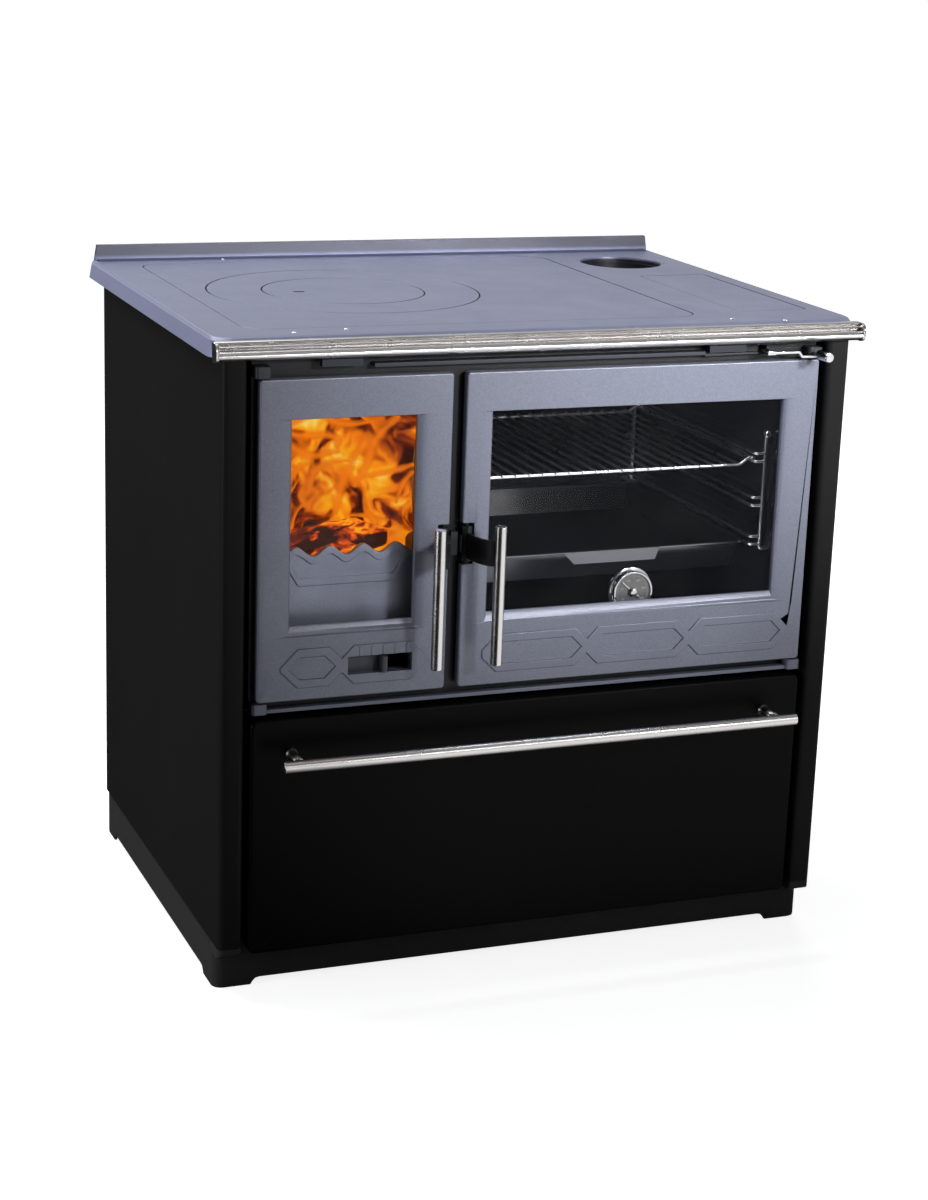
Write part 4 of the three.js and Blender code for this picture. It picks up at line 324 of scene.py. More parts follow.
def iron(name, rgb, metallic, rough, grain, grain_depth, contrast=0.08, **constants):
    """Painted or bare cast iron with its grain."""
    material, tree, shader, place = start(name, Metallic=metallic, **constants)
    skin = use_group(tree, casting_grain(), {"Vector": place, "Grain": grain})
    tone = spread(tree, skin["Tone"], 0.0, 1.0, 0.3, 0.7)
    base = blend_colour(tree, tone, scaled(rgb, 1.0 - contrast), scaled(rgb, 1.0 + contrast))
    speck = spread(tree, skin["Speckle"], 0.86, 1.14, 0.3, 0.7)
    tree.links.new(blend_colour(tree, 1.0, base, speck, "MULTIPLY"), shader.inputs["Base Color"])
    tree.links.new(spread(tree, skin["Tone"], rough + 0.05, rough - 0.05, 0.3, 0.7),
                   shader.inputs["Roughness"])
    bump(tree, shader, skin["Height"], grain_depth)
    return material


def enamel(name, rgb, rough, level, ripple=0.00002, **constants):
    """Fired or baked enamel: even colour, slightly wavy gloss."""
    material, tree, shader, place = start(name, Specular_IOR_Level=level, **constants)
    touch = use_group(tree, handling(), {"Vector": place})
    base = blend_colour(tree, touch["Smear"], scaled(rgb, 0.93), scaled(rgb, 1.07))
    tree.links.new(base, shader.inputs["Base Color"])
    tree.links.new(spread(tree, touch["Smear"], rough - 0.015, rough + 0.02, 0.3, 0.7),
                   shader.inputs["Roughness"])
    bump(tree, shader, touch["Ripple"], ripple)
    return material


def bright_metal(name, rgb, rough, stretch, line_depth):
    material, tree, shader, place = start(name, Metallic=1.0)
    lines = use_group(tree, brush_lines(), {"Vector": place, "Stretch": stretch})
    base = blend_colour(tree, spread(tree, lines["Height"], 0.0, 1.0, 0.25, 0.75),
                        scaled(rgb, 0.96), scaled(rgb, 1.02))
    tree.links.new(base, shader.inputs["Base Color"])
    tree.links.new(spread(tree, lines["Tone"], rough - 0.03, rough + 0.05, 0.3, 0.7),
                   shader.inputs["Roughness"])
    if line_depth > 0.0:
        bump(tree, shader, lines["Height"], line_depth)
    return material


@recipe("door iron")
def door_iron(name):
    look = settings().iron
    return iron(name, look.door, 0.15, 0.32, look.grain, look.grain_depth, 0.05,
                Specular_IOR_Level=0.5)


@recipe("guard iron")
def guard_iron(name):
    look = settings().iron
    return iron(name, scaled(look.door, 1.9), 0.3, 0.4, look.grain, look.grain_depth, 0.05)


@recipe("shutter iron")
def shutter_iron(name):
    """Door iron darkened to 0.35, as painted shade where the slide sits in its slot."""
    look = settings().iron
    # Painted shade: the door colour scaled down to 0.35.
    return iron(name, scaled(look.door, 0.35), 0.2, 0.5, look.grain, look.grain_depth, 0.05)


def shade_where(material, mask, rgb):
    """Lays a second colour over the base colour where the mask is one."""
    tree = material.node_tree
    shader = tree.nodes["Principled BSDF"]
    base = shader.inputs["Base Color"].links[0].from_socket
    tree.links.new(blend_colour(tree, mask, base, rgb), shader.inputs["Base Color"])


def place_axes(material):
    tree = material.node_tree
    place = put(tree, "ShaderNodeTexCoord").outputs["Object"]
    return put(tree, "ShaderNodeSeparateXYZ", {0: place}).outputs


@recipe("frame iron")
def frame_iron(name):
    """Door iron, with painted shade: near black far behind the door faces, above the doors and
    beyond their outer edges.
    """
    look = settings().iron
    material = iron(name, look.door, 0.15, 0.45, look.grain, look.grain_depth, 0.05,
                    Specular_IOR_Level=0.35)
    tree = material.node_tree
    axes = place_axes(material)
    # Painted shade: the frame face in the gap behind the doors goes near black.
    painted_gap_shade = spread(tree, axes["Y"], 0.0, 0.96, depth(0.007), depth(0.0165))
    shade_where(material, painted_gap_shade, (0.004, 0.004, 0.005))
    # Painted shade: the frame above the doors and beyond their outer edges goes near black.
    ends = math_node(tree, "MAXIMUM", spread(tree, axes["Z"], 0.0, 0.85, 0.7985, 0.8005),
                     spread(tree, math_node(tree, "ABSOLUTE", axes["X"]), 0.0, 0.85, 0.3805,
                            0.382))
    shade_where(material, ends, (0.01, 0.01, 0.012))
    return material


@recipe("top iron")
def top_iron(name):
    """Tempered iron, with painted shade in the gaps round the plates and on its lowest faces,
    painted light on its side faces, and ground along the upstand.
    """
    look = settings().iron
    material = iron(name, look.top, 0.4, 0.4, look.grain * 0.7, look.grain_depth * 0.25, 0.05)
    tree = material.node_tree
    axes = place_axes(material)
    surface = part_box("hotplate")[1].z
    low = spread(tree, axes["Z"], 1.0, 0.0, surface - 0.0006, surface - 0.0001)
    inside = math_node(tree, "LESS_THAN", math_node(tree, "ABSOLUTE", axes["X"]), 0.426)
    behind = math_node(tree, "GREATER_THAN", axes["Y"], depth(0.02))
    # Painted shade: gaps and grooves below the plate surface go near black.
    painted_joint_shade = math_node(tree, "MULTIPLY", math_node(tree, "MULTIPLY", low, inside), behind)
    shade_where(material, painted_joint_shade, (0.006, 0.006, 0.008))
    # Painted shade: faces more than 25 mm below the plate surface go near black.
    painted_shade_below = spread(tree, axes["Z"], 0.93, 0.0, surface - 0.0252, surface - 0.0245)
    shade_where(material, painted_shade_below, (0.008, 0.008, 0.01))
    # Painted light: the side faces of the top are painted twice as bright.
    painted_skirt_light = spread(tree, math_node(tree, "ABSOLUTE", axes["X"]), 0.0, 1.0, 0.4325, 0.4345)
    shade_where(material, painted_skirt_light, scaled(look.top, 2.0))
    upstand = spread(tree, axes["Z"], 0.0, 1.0, surface + 0.004, surface + 0.008)
    shade_where(material, upstand, look.splash)
    return material


@recipe("flue iron")
def flue_iron(name):
    """Cast iron of the flue collar, dark below its rim: soot, and painted shade in the bore."""
    look = settings().iron
    material = iron(name, look.top, 0.3, 0.4, look.grain, look.grain_depth, 0.05)
    height = place_axes(material)["Z"]
    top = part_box("flue_collar")[1].z
    # Soot and painted shade: below the rim the collar goes near black.
    soot = spread(material.node_tree, height, 0.95, 0.0, top - 0.004, top - 0.002)
    shade_where(material, soot, (0.008, 0.008, 0.009))
    return material


@recipe("black iron")
def black_iron(name):
    look = settings().iron
    return iron(name, look.black, 0.0, 0.42, look.grain, look.grain_depth * 0.5, 0.1,
                Specular_IOR_Level=0.3)


@recipe("burnt iron")
def burnt_iron(name):
    look = settings().iron
    return iron(name, look.burnt, 0.1, 0.75, look.grain * 2, look.grain_depth * 2, 0.35)


@recipe("side enamel")
def side_enamel(name):
    return enamel(name, settings().sheet.side, 0.4, 0.06)


@recipe("front enamel")
def front_enamel(name):
    return enamel(name, settings().sheet.front, 0.34, 0.05)


@recipe("oven enamel")
def oven_enamel(name):
    return enamel(name, settings().sheet.oven, 0.22, 0.22)


@recipe("inner steel")
def inner_steel(name):
    return enamel(name, settings().sheet.steel, 0.6, 0.3)


@recipe("plinth paint")
def plinth_paint(name):
    look = settings().iron
    return iron(name, settings().sheet.plinth, 0.0, 0.72, look.grain * 0.8, look.grain_depth * 1.5,
                0.06, Specular_IOR_Level=0.25)


@recipe("stainless steel")
def stainless_steel(name):
    look = settings().steel
    return bright_metal(name, look.stainless, 0.24, (5.0, 1500.0, 1500.0), 0.0)


@recipe("stainless rod")
def stainless_rod(name):
    look = settings().steel
    return bright_metal(name, look.stainless, 0.24, (1500.0, 1500.0, 5.0), 0.000002 * look.wear)


@recipe("chrome")
def chrome(name):
    return bright_metal(name, settings().steel.chrome, 0.1, (60.0, 60.0, 60.0), 0.000002)


@recipe("oven wire")
def oven_wire(name):
    """Chrome dulled by the oven's heat."""
    return bright_metal(name, settings().steel.chrome, 0.3, (60.0, 60.0, 60.0), 0.000002)


@recipe("rope")
def rope(name):
    """Woven glass-fibre rope."""
    material, tree, shader, place = start(name, Roughness=0.95)
    twist = put(tree, "ShaderNodeTexWave", {"Vector": place, "Scale": 260.0, "Distortion": 1.5,
                                            "Detail": 2.0}, wave_type="BANDS",
                bands_direction="DIAGONAL")
    base = blend_colour(tree, twist.outputs["Fac"], (0.06, 0.055, 0.05), (0.22, 0.2, 0.17))
    tree.links.new(base, shader.inputs["Base Color"])
    bump(tree, shader, twist.outputs["Fac"], 0.0006)
    return material


@recipe("door glass")
def door_glass(name):
    """Clear glass-ceramic with a faint, patchy haze of soot."""
    material, tree, shader, place = start(
        name, Base_Color=(0.02, 0.022, 0.026), Roughness=0.03, Specular_IOR_Level=0.35)
    haze = put(tree, "ShaderNodeTexNoise", {"Vector": place, "Scale": 14.0, "Detail": 4.0})
    tree.links.new(spread(tree, haze.outputs["Fac"], 0.05, 0.13, 0.3, 0.7), shader.inputs["Alpha"])
    return material


@recipe("dial face")
def dial_face(name):
    material, tree, shader, place = start(name, Roughness=0.35, Metallic=0.4)
    speck = put(tree, "ShaderNodeTexNoise", {"Vector": place, "Scale": 900.0, "Detail": 2.0})
    base = blend_colour(tree, speck.outputs["Fac"], (0.16, 0.155, 0.15), (0.34, 0.33, 0.32))
    tree.links.new(base, shader.inputs["Base Color"])
    return material


@recipe("dial print")
def dial_print(name):
    material, tree, shader, place = start(name, Roughness=0.6)
    speck = put(tree, "ShaderNodeTexNoise", {"Vector": place, "Scale": 2500.0})
    base = blend_colour(tree, speck.outputs["Fac"], (0.5, 0.5, 0.5), (0.8, 0.8, 0.8))
    tree.links.new(base, shader.inputs["Base Color"])
    return material


@recipe("tray enamel")
def tray_enamel(name):
    """Oven enamel, with the bare bright lip at the tray's front edge."""
    material, tree, shader, place = start(name, Specular_IOR_Level=0.16, Roughness=0.3)
    y = put(tree, "ShaderNodeSeparateXYZ", {0: place}).outputs["Y"]
    lip = spread(tree, y, 1.0, 0.0, depth(0.0905), depth(0.0915))
    touch = use_group(tree, handling(), {"Vector": place})
    dark = blend_colour(tree, touch["Smear"], (0.003, 0.003, 0.004), (0.007, 0.007, 0.009))
    tree.links.new(blend_colour(tree, lip, dark, (0.3, 0.3, 0.32)), shader.inputs["Base Color"])
    tree.links.new(lip, shader.inputs["Metallic"])
    return material


@recipe("flames")
def flames(name):
    """The wall of fire behind the tongues: warped, drawn-out filaments over a dull glow."""
    look = settings().fire
    material, tree, shader, place = start(name, Base_Color=(0, 0, 0), Roughness=1.0,
                                          Specular_IOR_Level=0.0)
    uv = put(tree, "ShaderNodeUVMap", uv_map="flow").outputs["UV"]
    warp = put(tree, "ShaderNodeTexNoise", {"Vector": uv, "Scale": 13.0, "Detail": 2.0})
    centred = put(tree, "ShaderNodeVectorMath", {0: warp.outputs["Color"], 1: (0.5, 0.5, 0.5)},
                  operation="SUBTRACT").outputs[0]
    pushed = put(tree, "ShaderNodeVectorMath", {0: centred, 1: (0.1, 0.09, 0.0), 2: uv},
                 operation="MULTIPLY_ADD").outputs[0]
    tall = put(tree, "ShaderNodeVectorMath", {0: pushed, 1: (1.0, 0.5, 1.0)},
               operation="MULTIPLY").outputs[0]
    body = put(tree, "ShaderNodeTexNoise", {"Vector": tall, "Scale": 26.0, "Detail": 3.0,
                                            "Roughness": 0.55, "Distortion": 0.8})
    threads = put(tree, "ShaderNodeTexNoise", {"Vector": tall, "Scale": 44.0, "Detail": 2.0,
                                               "Roughness": 0.5, "Distortion": 1.6})
    ridge = math_node(tree, "SUBTRACT", 1.0, math_node(tree, "ABSOLUTE", math_node(
        tree, "MULTIPLY_ADD", threads.outputs["Fac"], 5.0, -2.5)), clamp=True)
    heat = math_node(tree, "MULTIPLY_ADD", ridge, 0.24,
                     spread(tree, body.outputs["Fac"], -0.2, 0.74, 0.32, 0.66))
    shade = ramp(tree, heat, [(0.0, look.dark), (0.22, look.dull), (0.45, look.middle),
                              (0.72, look.bright), (1.0, look.hot)])
    tree.links.new(shade, shader.inputs["Emission Color"])
    shader.inputs["Emission Strength"].default_value = 1.0
    return material


@recipe("flame tongues")
def flame_tongues(name):
    """Tongues with a hot heart that thin out towards their edges; UV runs along and across."""
    look = settings().fire
    material, tree, shader, place = start(name, Base_Color=(0, 0, 0), Roughness=1.0,
                                          Specular_IOR_Level=0.0)
    uv = put(tree, "ShaderNodeUVMap", uv_map="flow").outputs["UV"]
    parts = put(tree, "ShaderNodeSeparateXYZ", {0: uv})
    ragged = put(tree, "ShaderNodeTexNoise", {"Vector": place, "Scale": 75.0, "Detail": 3.0})
    across = math_node(tree, "ABSOLUTE", math_node(tree, "SUBTRACT", parts.outputs["Y"], 0.5))
    heart = math_node(tree, "MULTIPLY_ADD", across, -2.0, 1.0, clamp=True)
    heart = math_node(tree, "ADD", heart, spread(tree, ragged.outputs["Fac"], -0.22, 0.22, 0.3,
                                                 0.7), clamp=True)
    hot = put(tree, "ShaderNodeAttribute", attribute_name="heat").outputs["Fac"]
    heat = math_node(tree, "MULTIPLY", math_node(tree, "MULTIPLY", heart, hot), 1.45)
    shade = ramp(tree, heat, [(0.0, look.middle), (0.25, look.bright), (0.5, (1.0, 0.6, 0.05)),
                              (0.7, look.hot), (0.9, (1.0, 0.95, 0.62))])
    tree.links.new(shade, shader.inputs["Emission Color"])
    shader.inputs["Emission Strength"].default_value = 1.0
    tree.links.new(spread(tree, heart, 0.0, 0.9, 0.02, 0.85), shader.inputs["Alpha"])
    return material


def glowing(name, char, low, high, scale):
    """Charred wood or coal: dark crust with seams that glow."""
    look = settings().fire
    material, tree, shader, place = start(name, Roughness=0.9)
    drawn = put(tree, "ShaderNodeVectorMath", {0: place, 1: (0.4, 1.0, 1.0)},
                operation="MULTIPLY").outputs[0]
    crust = put(tree, "ShaderNodeTexNoise", {"Vector": drawn, "Scale": scale, "Detail": 4.0,
                                             "Roughness": 0.6, "Distortion": 0.7})
    cloud = put(tree, "ShaderNodeTexNoise", {"Vector": place, "Scale": 26.0, "Detail": 3.0})
    seam = math_node(tree, "SUBTRACT", 1.0, math_node(tree, "ABSOLUTE", math_node(
        tree, "MULTIPLY_ADD", crust.outputs["Fac"], 9.0, -4.5)), clamp=True)
    glow = math_node(tree, "MULTIPLY", seam,
                     spread(tree, cloud.outputs["Fac"], low, high, 0.35, 0.62), clamp=True)
    tree.links.new(blend_colour(tree, cloud.outputs["Fac"], scaled(char, 0.6), scaled(char, 1.5)),
                   shader.inputs["Base Color"])
    tree.links.new(ramp(tree, glow, [(0.0, (0.02, 0.002, 0.0)), (0.3, (0.3, 0.02, 0.0)),
                                     (0.7, (0.95, 0.13, 0.0)), (1.0, look.bright)]),
                   shader.inputs["Emission Color"])
    shader.inputs["Emission Strength"].default_value = 1.0
    bump(tree, shader, crust.outputs["Fac"], 0.005)
    return material


@recipe("burning logs")
def burning_logs(name):
    return glowing(name, (0.02, 0.015, 0.012), 0.1, 1.2, 34.0)


@recipe("embers")
def embers(name):
    return glowing(name, (0.05, 0.03, 0.02), 0.5, 1.3, 60.0)


# ---------------------------------------------------------------- mesh building


def link(obj):
    bpy.context.scene.collection.objects.link(obj)
    return obj


def from_bmesh(name, bm):
    mesh = bpy.data.meshes.new(name)
    bm.to_mesh(mesh)
    bm.free()
    return link(bpy.data.objects.new(name, mesh))


def settle(obj):
    """Turns what the modifiers make into the object's plain mesh, and removes them."""
    graph = bpy.context.evaluated_depsgraph_get()
    mesh = bpy.data.meshes.new_from_object(obj.evaluated_get(graph),
                                           preserve_all_data_layers=True, depsgraph=graph)
    obj.modifiers.clear()
    obj.data = mesh
    return obj


def smooth(obj, sharp):
    """Smooth shading with sharp edges over the given angle."""
    obj.data.shade_smooth()
    obj.data.set_sharp_from_angle(angle=math.radians(sharp))


def soften(obj, sharp):
    """Smooth shading with sharp edges over the given angle, flats kept flat."""
    smooth(obj, sharp)
    flat = obj.modifiers.new("Flats", "WEIGHTED_NORMAL")
    flat.keep_sharp = True
    flat.weight = 80
    return settle(obj)


def refined(name, node, bevel=0.0, segments=2, sharp=36.0):
    """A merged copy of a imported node, with its hard edges rounded by the given width."""
    bm = bmesh.new()
    bm.from_mesh(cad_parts[node].data)
    bmesh.ops.remove_doubles(bm, verts=bm.verts[:], dist=1.5e-4 if bevel > 0.0 else 5e-6)
    bmesh.ops.dissolve_limit(bm, angle_limit=math.radians(0.6), verts=bm.verts[:],
                             edges=bm.edges[:])
    if bevel > 0.0:
        wide = [face for face in bm.faces if len(face.verts) > 4]
        bmesh.ops.triangulate(bm, faces=wide, ngon_method="BEAUTY")
    obj = from_bmesh(name, bm)
    if bevel > 0.0:
        rounding = obj.modifiers.new("Rounding", "BEVEL")
        rounding.width = bevel
        rounding.segments = segments
        rounding.limit_method = "ANGLE"
        rounding.angle_limit = math.radians(38.0)
        rounding.use_clamp_overlap = False
        rounding.miter_outer = "MITER_ARC"
        settle(obj)
    return soften(obj, sharp)


def turned(name, axis, centre, profile, segments=64, sharp=40.0):
    """A body of revolution from (radius, height) pairs about an axis through the centre."""
    bm = bmesh.new()
    rings = []
    for radius, height in profile:
        if radius < 1e-7:
            rings.append([bm.verts.new((0.0, 0.0, height))])
            continue
        rings.append([bm.verts.new((radius * math.cos(a), radius * math.sin(a), height))
                      for a in (2 * math.pi * i / segments for i in range(segments))])
    for low, high in zip(rings, rings[1:]):
        for i in range(segments):
            j = (i + 1) % segments
            corners = [low[i % len(low)], low[j % len(low)], high[j % len(high)],
                       high[i % len(high)]]
            unique = list(dict.fromkeys(corners))
            if len(unique) > 2:
                bm.faces.new(unique)
    turn = {"z": Matrix.Identity(4), "x": Matrix.Rotation(math.pi / 2, 4, "Y"),
            "y": Matrix.Rotation(-math.pi / 2, 4, "X")}[axis]
    bmesh.ops.transform(bm, matrix=Matrix.Translation(centre) @ turn, verts=bm.verts[:])
    bmesh.ops.recalc_face_normals(bm, faces=bm.faces[:])
    return soften(from_bmesh(name, bm), sharp)


def rounded_rod(radius, low, high, edge=0.0012, steps=3):
    """The profile of a rod whose ends are rounded by the given edge."""
    start_arc = [(radius - edge + edge * math.sin(a), low + edge - edge * math.cos(a))
                 for a in (math.pi / 2 * i / steps for i in range(steps + 1))]
    end_arc = [(r, high - (z - low)) for r, z in reversed(start_arc)]
    return [(0.0, low), *start_arc, *end_arc, (0.0, high)]


def joined(name, parts):
    """One mesh object from several, which are removed."""
    bm = bmesh.new()
    for part in parts:
        bm.from_mesh(part.data)
        bpy.data.objects.remove(part)
    return from_bmesh(name, bm)


def seat(obj, body, material, slot, *nodes):
    """Gives a piece its finish, and lets it ride on its body in place of the nodes."""
    obj.data.materials.clear()
    obj.data.materials.append(finish(material))
    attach(obj, body)
    if nodes:
        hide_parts(*nodes)
    return obj


def dress(node, material):
    """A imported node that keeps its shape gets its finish."""
    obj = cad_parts[node]
    if not obj.material_slots:
        obj.data.materials.append(None)
    for held in obj.material_slots:
        held.material = finish(material)
    obj.data.materials[0] = finish(material)
    return obj


# ---------------------------------------------------------------- geometry node trees


def geometry_tree(name, inputs):
    tree = bpy.data.node_groups.new(name, "GeometryNodeTree")
    tree.interface.new_socket("Geometry", in_out="INPUT", socket_type="NodeSocketGeometry")
    for label, kind, default in inputs:
        socket = tree.interface.new_socket(label, in_out="INPUT", socket_type=kind)
        if default is not None:
            socket.default_value = default
    tree.interface.new_socket("Geometry", in_out="OUTPUT", socket_type="NodeSocketGeometry")
    return tree, tree.nodes.new("NodeGroupInput").outputs


def end_tree(tree, given, geometry):
    smooth = put(tree, "GeometryNodeSetShadeSmooth", {"Geometry": geometry})
    real = put(tree, "GeometryNodeRealizeInstances", {"Geometry": smooth.outputs[0]})
    coat = put(tree, "GeometryNodeSetMaterial", {"Geometry": real.outputs[0],
                                                 "Material": given["Material"]})
    out = tree.nodes.new("NodeGroupOutput")
    tree.links.new(coat.outputs[0], out.inputs["Geometry"])
    return tree


def wire_tree():
    """Bends wires of round section along the edges of a mesh."""
    found = bpy.data.node_groups.get("bent wires")
    if found:
        return found
    tree, given = geometry_tree("bent wires", [
        ("Radius", "NodeSocketFloat", 0.002), ("Corner", "NodeSocketFloat", 0.005),
        ("Steps", "NodeSocketInt", 5), ("Sides", "NodeSocketInt", 12),
        ("Material", "NodeSocketMaterial", None)])
    path = put(tree, "GeometryNodeMeshToCurve", {"Mesh": given["Geometry"]})
    soft = put(tree, "GeometryNodeFilletCurve", {
        "Curve": path.outputs[0], "Radius": given["Corner"], "Count": given["Steps"],
        "Limit Radius": True}, mode="POLY")
    ring = put(tree, "GeometryNodeCurvePrimitiveCircle", {
        "Resolution": given["Sides"], "Radius": given["Radius"]}, mode="RADIUS")
    body = put(tree, "GeometryNodeCurveToMesh", {
        "Curve": soft.outputs[0], "Profile Curve": ring.outputs[0], "Fill Caps": True})
    return end_tree(tree, given, body.outputs[0])


def bar_tree():
    """A row of equal round bars that lie along Y, from a start and a step."""
    found = bpy.data.node_groups.get("row of bars")
    if found:
        return found
    tree, given = geometry_tree("row of bars", [
        ("Count", "NodeSocketInt", 20), ("Start", "NodeSocketVector", None),
        ("Step", "NodeSocketVector", None), ("Length", "NodeSocketFloat", 0.36),
        ("Radius", "NodeSocketFloat", 0.0015), ("Material", "NodeSocketMaterial", None)])
    line = put(tree, "GeometryNodeMeshLine", {
        "Count": given["Count"], "Start Location": given["Start"], "Offset": given["Step"]},
        mode="OFFSET", count_mode="TOTAL")
    bar = put(tree, "GeometryNodeMeshCylinder", {
        "Vertices": 10, "Radius": given["Radius"], "Depth": given["Length"]})
    row = put(tree, "GeometryNodeInstanceOnPoints", {
        "Points": line.outputs[0], "Instance": bar.outputs[0],
        "Rotation": (math.pi / 2, 0.0, 0.0)})
    return end_tree(tree, given, row.outputs[0])


def stud_tree():
    """Low round heads on the points of a mesh, turned to face one way."""
    found = bpy.data.node_groups.get("stud heads")
    if found:
        return found
    tree, given = geometry_tree("stud heads", [
        ("Radius", "NodeSocketFloat", 0.003), ("Rise", "NodeSocketFloat", 0.4),
        ("Facing", "NodeSocketVector", None), ("Material", "NodeSocketMaterial", None)])
    ball = put(tree, "GeometryNodeMeshUVSphere", {"Segments": 16, "Rings": 8, "Radius": 1.0})
    size = put(tree, "ShaderNodeCombineXYZ", {
        "X": given["Radius"], "Y": given["Radius"],
        "Z": math_node(tree, "MULTIPLY", given["Radius"], given["Rise"])})
    heads = put(tree, "GeometryNodeInstanceOnPoints", {
        "Points": given["Geometry"], "Instance": ball.outputs[0], "Rotation": given["Facing"],
        "Scale": size.outputs[0]})
    return end_tree(tree, given, heads.outputs[0])


def tick_tree():
    """Marks round a dial that faces -Y: the angle of each follows from its number."""
    found = bpy.data.node_groups.get("dial ticks")
    if found:
        return found
    tree, given = geometry_tree("dial ticks", [
        ("Count", "NodeSocketInt", 31), ("Centre", "NodeSocketVector", None),
        ("Ring", "NodeSocketFloat", 0.022), ("Sweep", "NodeSocketFloat", 4.7),
        ("Length", "NodeSocketFloat", 0.002), ("Material", "NodeSocketMaterial", None)])
    line = put(tree, "GeometryNodeMeshLine", {"Count": given["Count"]}, mode="OFFSET",
               count_mode="TOTAL")
    number = put(tree, "GeometryNodeInputIndex").outputs[0]
    part = math_node(tree, "DIVIDE", number, math_node(tree, "SUBTRACT", given["Count"], 1.0))
    angle = math_node(tree, "MULTIPLY", math_node(tree, "SUBTRACT", part, 0.5), given["Sweep"])
    place = put(tree, "ShaderNodeCombineXYZ", {
        "X": math_node(tree, "MULTIPLY", math_node(tree, "SINE", angle), given["Ring"]),
        "Z": math_node(tree, "MULTIPLY", math_node(tree, "COSINE", angle), given["Ring"])})
    where = put(tree, "ShaderNodeVectorMath", {0: place.outputs[0], 1: given["Centre"]},
                operation="ADD")
    moved = put(tree, "GeometryNodeSetPosition", {"Geometry": line.outputs[0],
                                                  "Position": where.outputs[0]})
    fifth = put(tree, "ShaderNodeMath", {0: number, 1: 5.0}, operation="MODULO").outputs[0]
    major = math_node(tree, "LESS_THAN", fifth, 0.5)
    stretch = math_node(tree, "MULTIPLY_ADD", major, 1.0, 1.0)
    size = put(tree, "ShaderNodeCombineXYZ", {"X": 0.0004, "Y": 0.0003,
                                              "Z": math_node(tree, "MULTIPLY", given["Length"],
                                                             stretch)})
    mark = put(tree, "GeometryNodeMeshCube", {"Size": (1.0, 1.0, 1.0)})
    turn = put(tree, "ShaderNodeCombineXYZ", {"Y": angle})
    marks = put(tree, "GeometryNodeInstanceOnPoints", {
        "Points": moved.outputs[0], "Instance": mark.outputs[0], "Rotation": turn.outputs[0],
        "Scale": size.outputs[0]})
    return end_tree(tree, given, marks.outputs[0])


def grown(name, tree, material, values, points=(), edges=()):
    """A plain mesh from a node tree, run on the given points and edges."""
    mesh = bpy.data.meshes.new(name)
    mesh.from_pydata([tuple(p) for p in points], [tuple(e) for e in edges], [])
    obj = link(bpy.data.objects.new(name, mesh))
    build = obj.modifiers.new("Build", "NODES")
    build.node_group = tree
    values = dict(values, Material=finish(material))
    for item in tree.interface.items_tree:
        if item.in_out == "INPUT" and item.name in values:
            build[item.identifier] = values[item.name]
    return settle(obj)


def wires(name, paths, radius, material, corner, steps=5, sides=12):
    points = [p for path in paths for p in path]
    edges = []
    count = 0
    for path in paths:
        edges += [(count + i, count + i + 1) for i in range(len(path) - 1)]
        count += len(path)
    return grown(name, wire_tree(), material,
                 {"Radius": radius, "Corner": corner, "Steps": steps, "Sides": sides},
                 points, edges)


# ---------------------------------------------------------------- operators


class StoveOperator(Operator):
    bl_options = {"REGISTER", "UNDO"}

    def execute(self, context):
        self.build(context.scene.cookstove)
        return {"FINISHED"}


class COOKSTOVE_OT_casing(StoveOperator):
    """Plinth, columns, side panels, back and the cast front frame"""
    bl_idname = "cookstove.casing"
    bl_label = "Casing"

    def build(self, look):
        for side in ("left", "right"):
            seat(refined(f"side_{side}", f"side_panel_{side}"), "stove", "side enamel",
                 "side_enamel", f"side_panel_{side}")
            seat(refined(f"column_foot_{side}", f"corner_cap_{side}", 0.0012), "stove",
                 "plinth paint", "plinth_paint", f"corner_cap_{side}")
        seat(refined("plinth_base", "plinth", 0.0015), "stove", "plinth paint", "plinth_paint",
             "plinth")
        seat(refined("front_casting", "front_frame", 0.0006), "stove", "frame iron",
             "grey_cast_iron", "front_frame")
        for node in ("floor_plate", "back_panel", "latch_keeper", "firebox_hinge_rod",
                     "oven_hinge_rod", "heat_shield"):
            dress(node, "inner steel")
        self.screw_back()

    def screw_back(self):
        """Screw heads along the rear flanges and the back panel's edges."""
        low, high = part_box("back_panel")
        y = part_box("side_panel_left")[1].y
        rows = 6
        points = []
        for i in range(rows):
            z = low.z + 0.05 + (high.z - low.z - 0.1) * i / (rows - 1)
            points += [(low.x + 0.004, y, z), (high.x - 0.004, y, z)]
        heads = grown("back_screws", stud_tree(), "chrome",
                      {"Radius": 0.0035, "Rise": 0.35, "Facing": (math.pi / 2, 0.0, 0.0)}, points)
        seat(heads, "stove", "inner steel", "dark_steel")


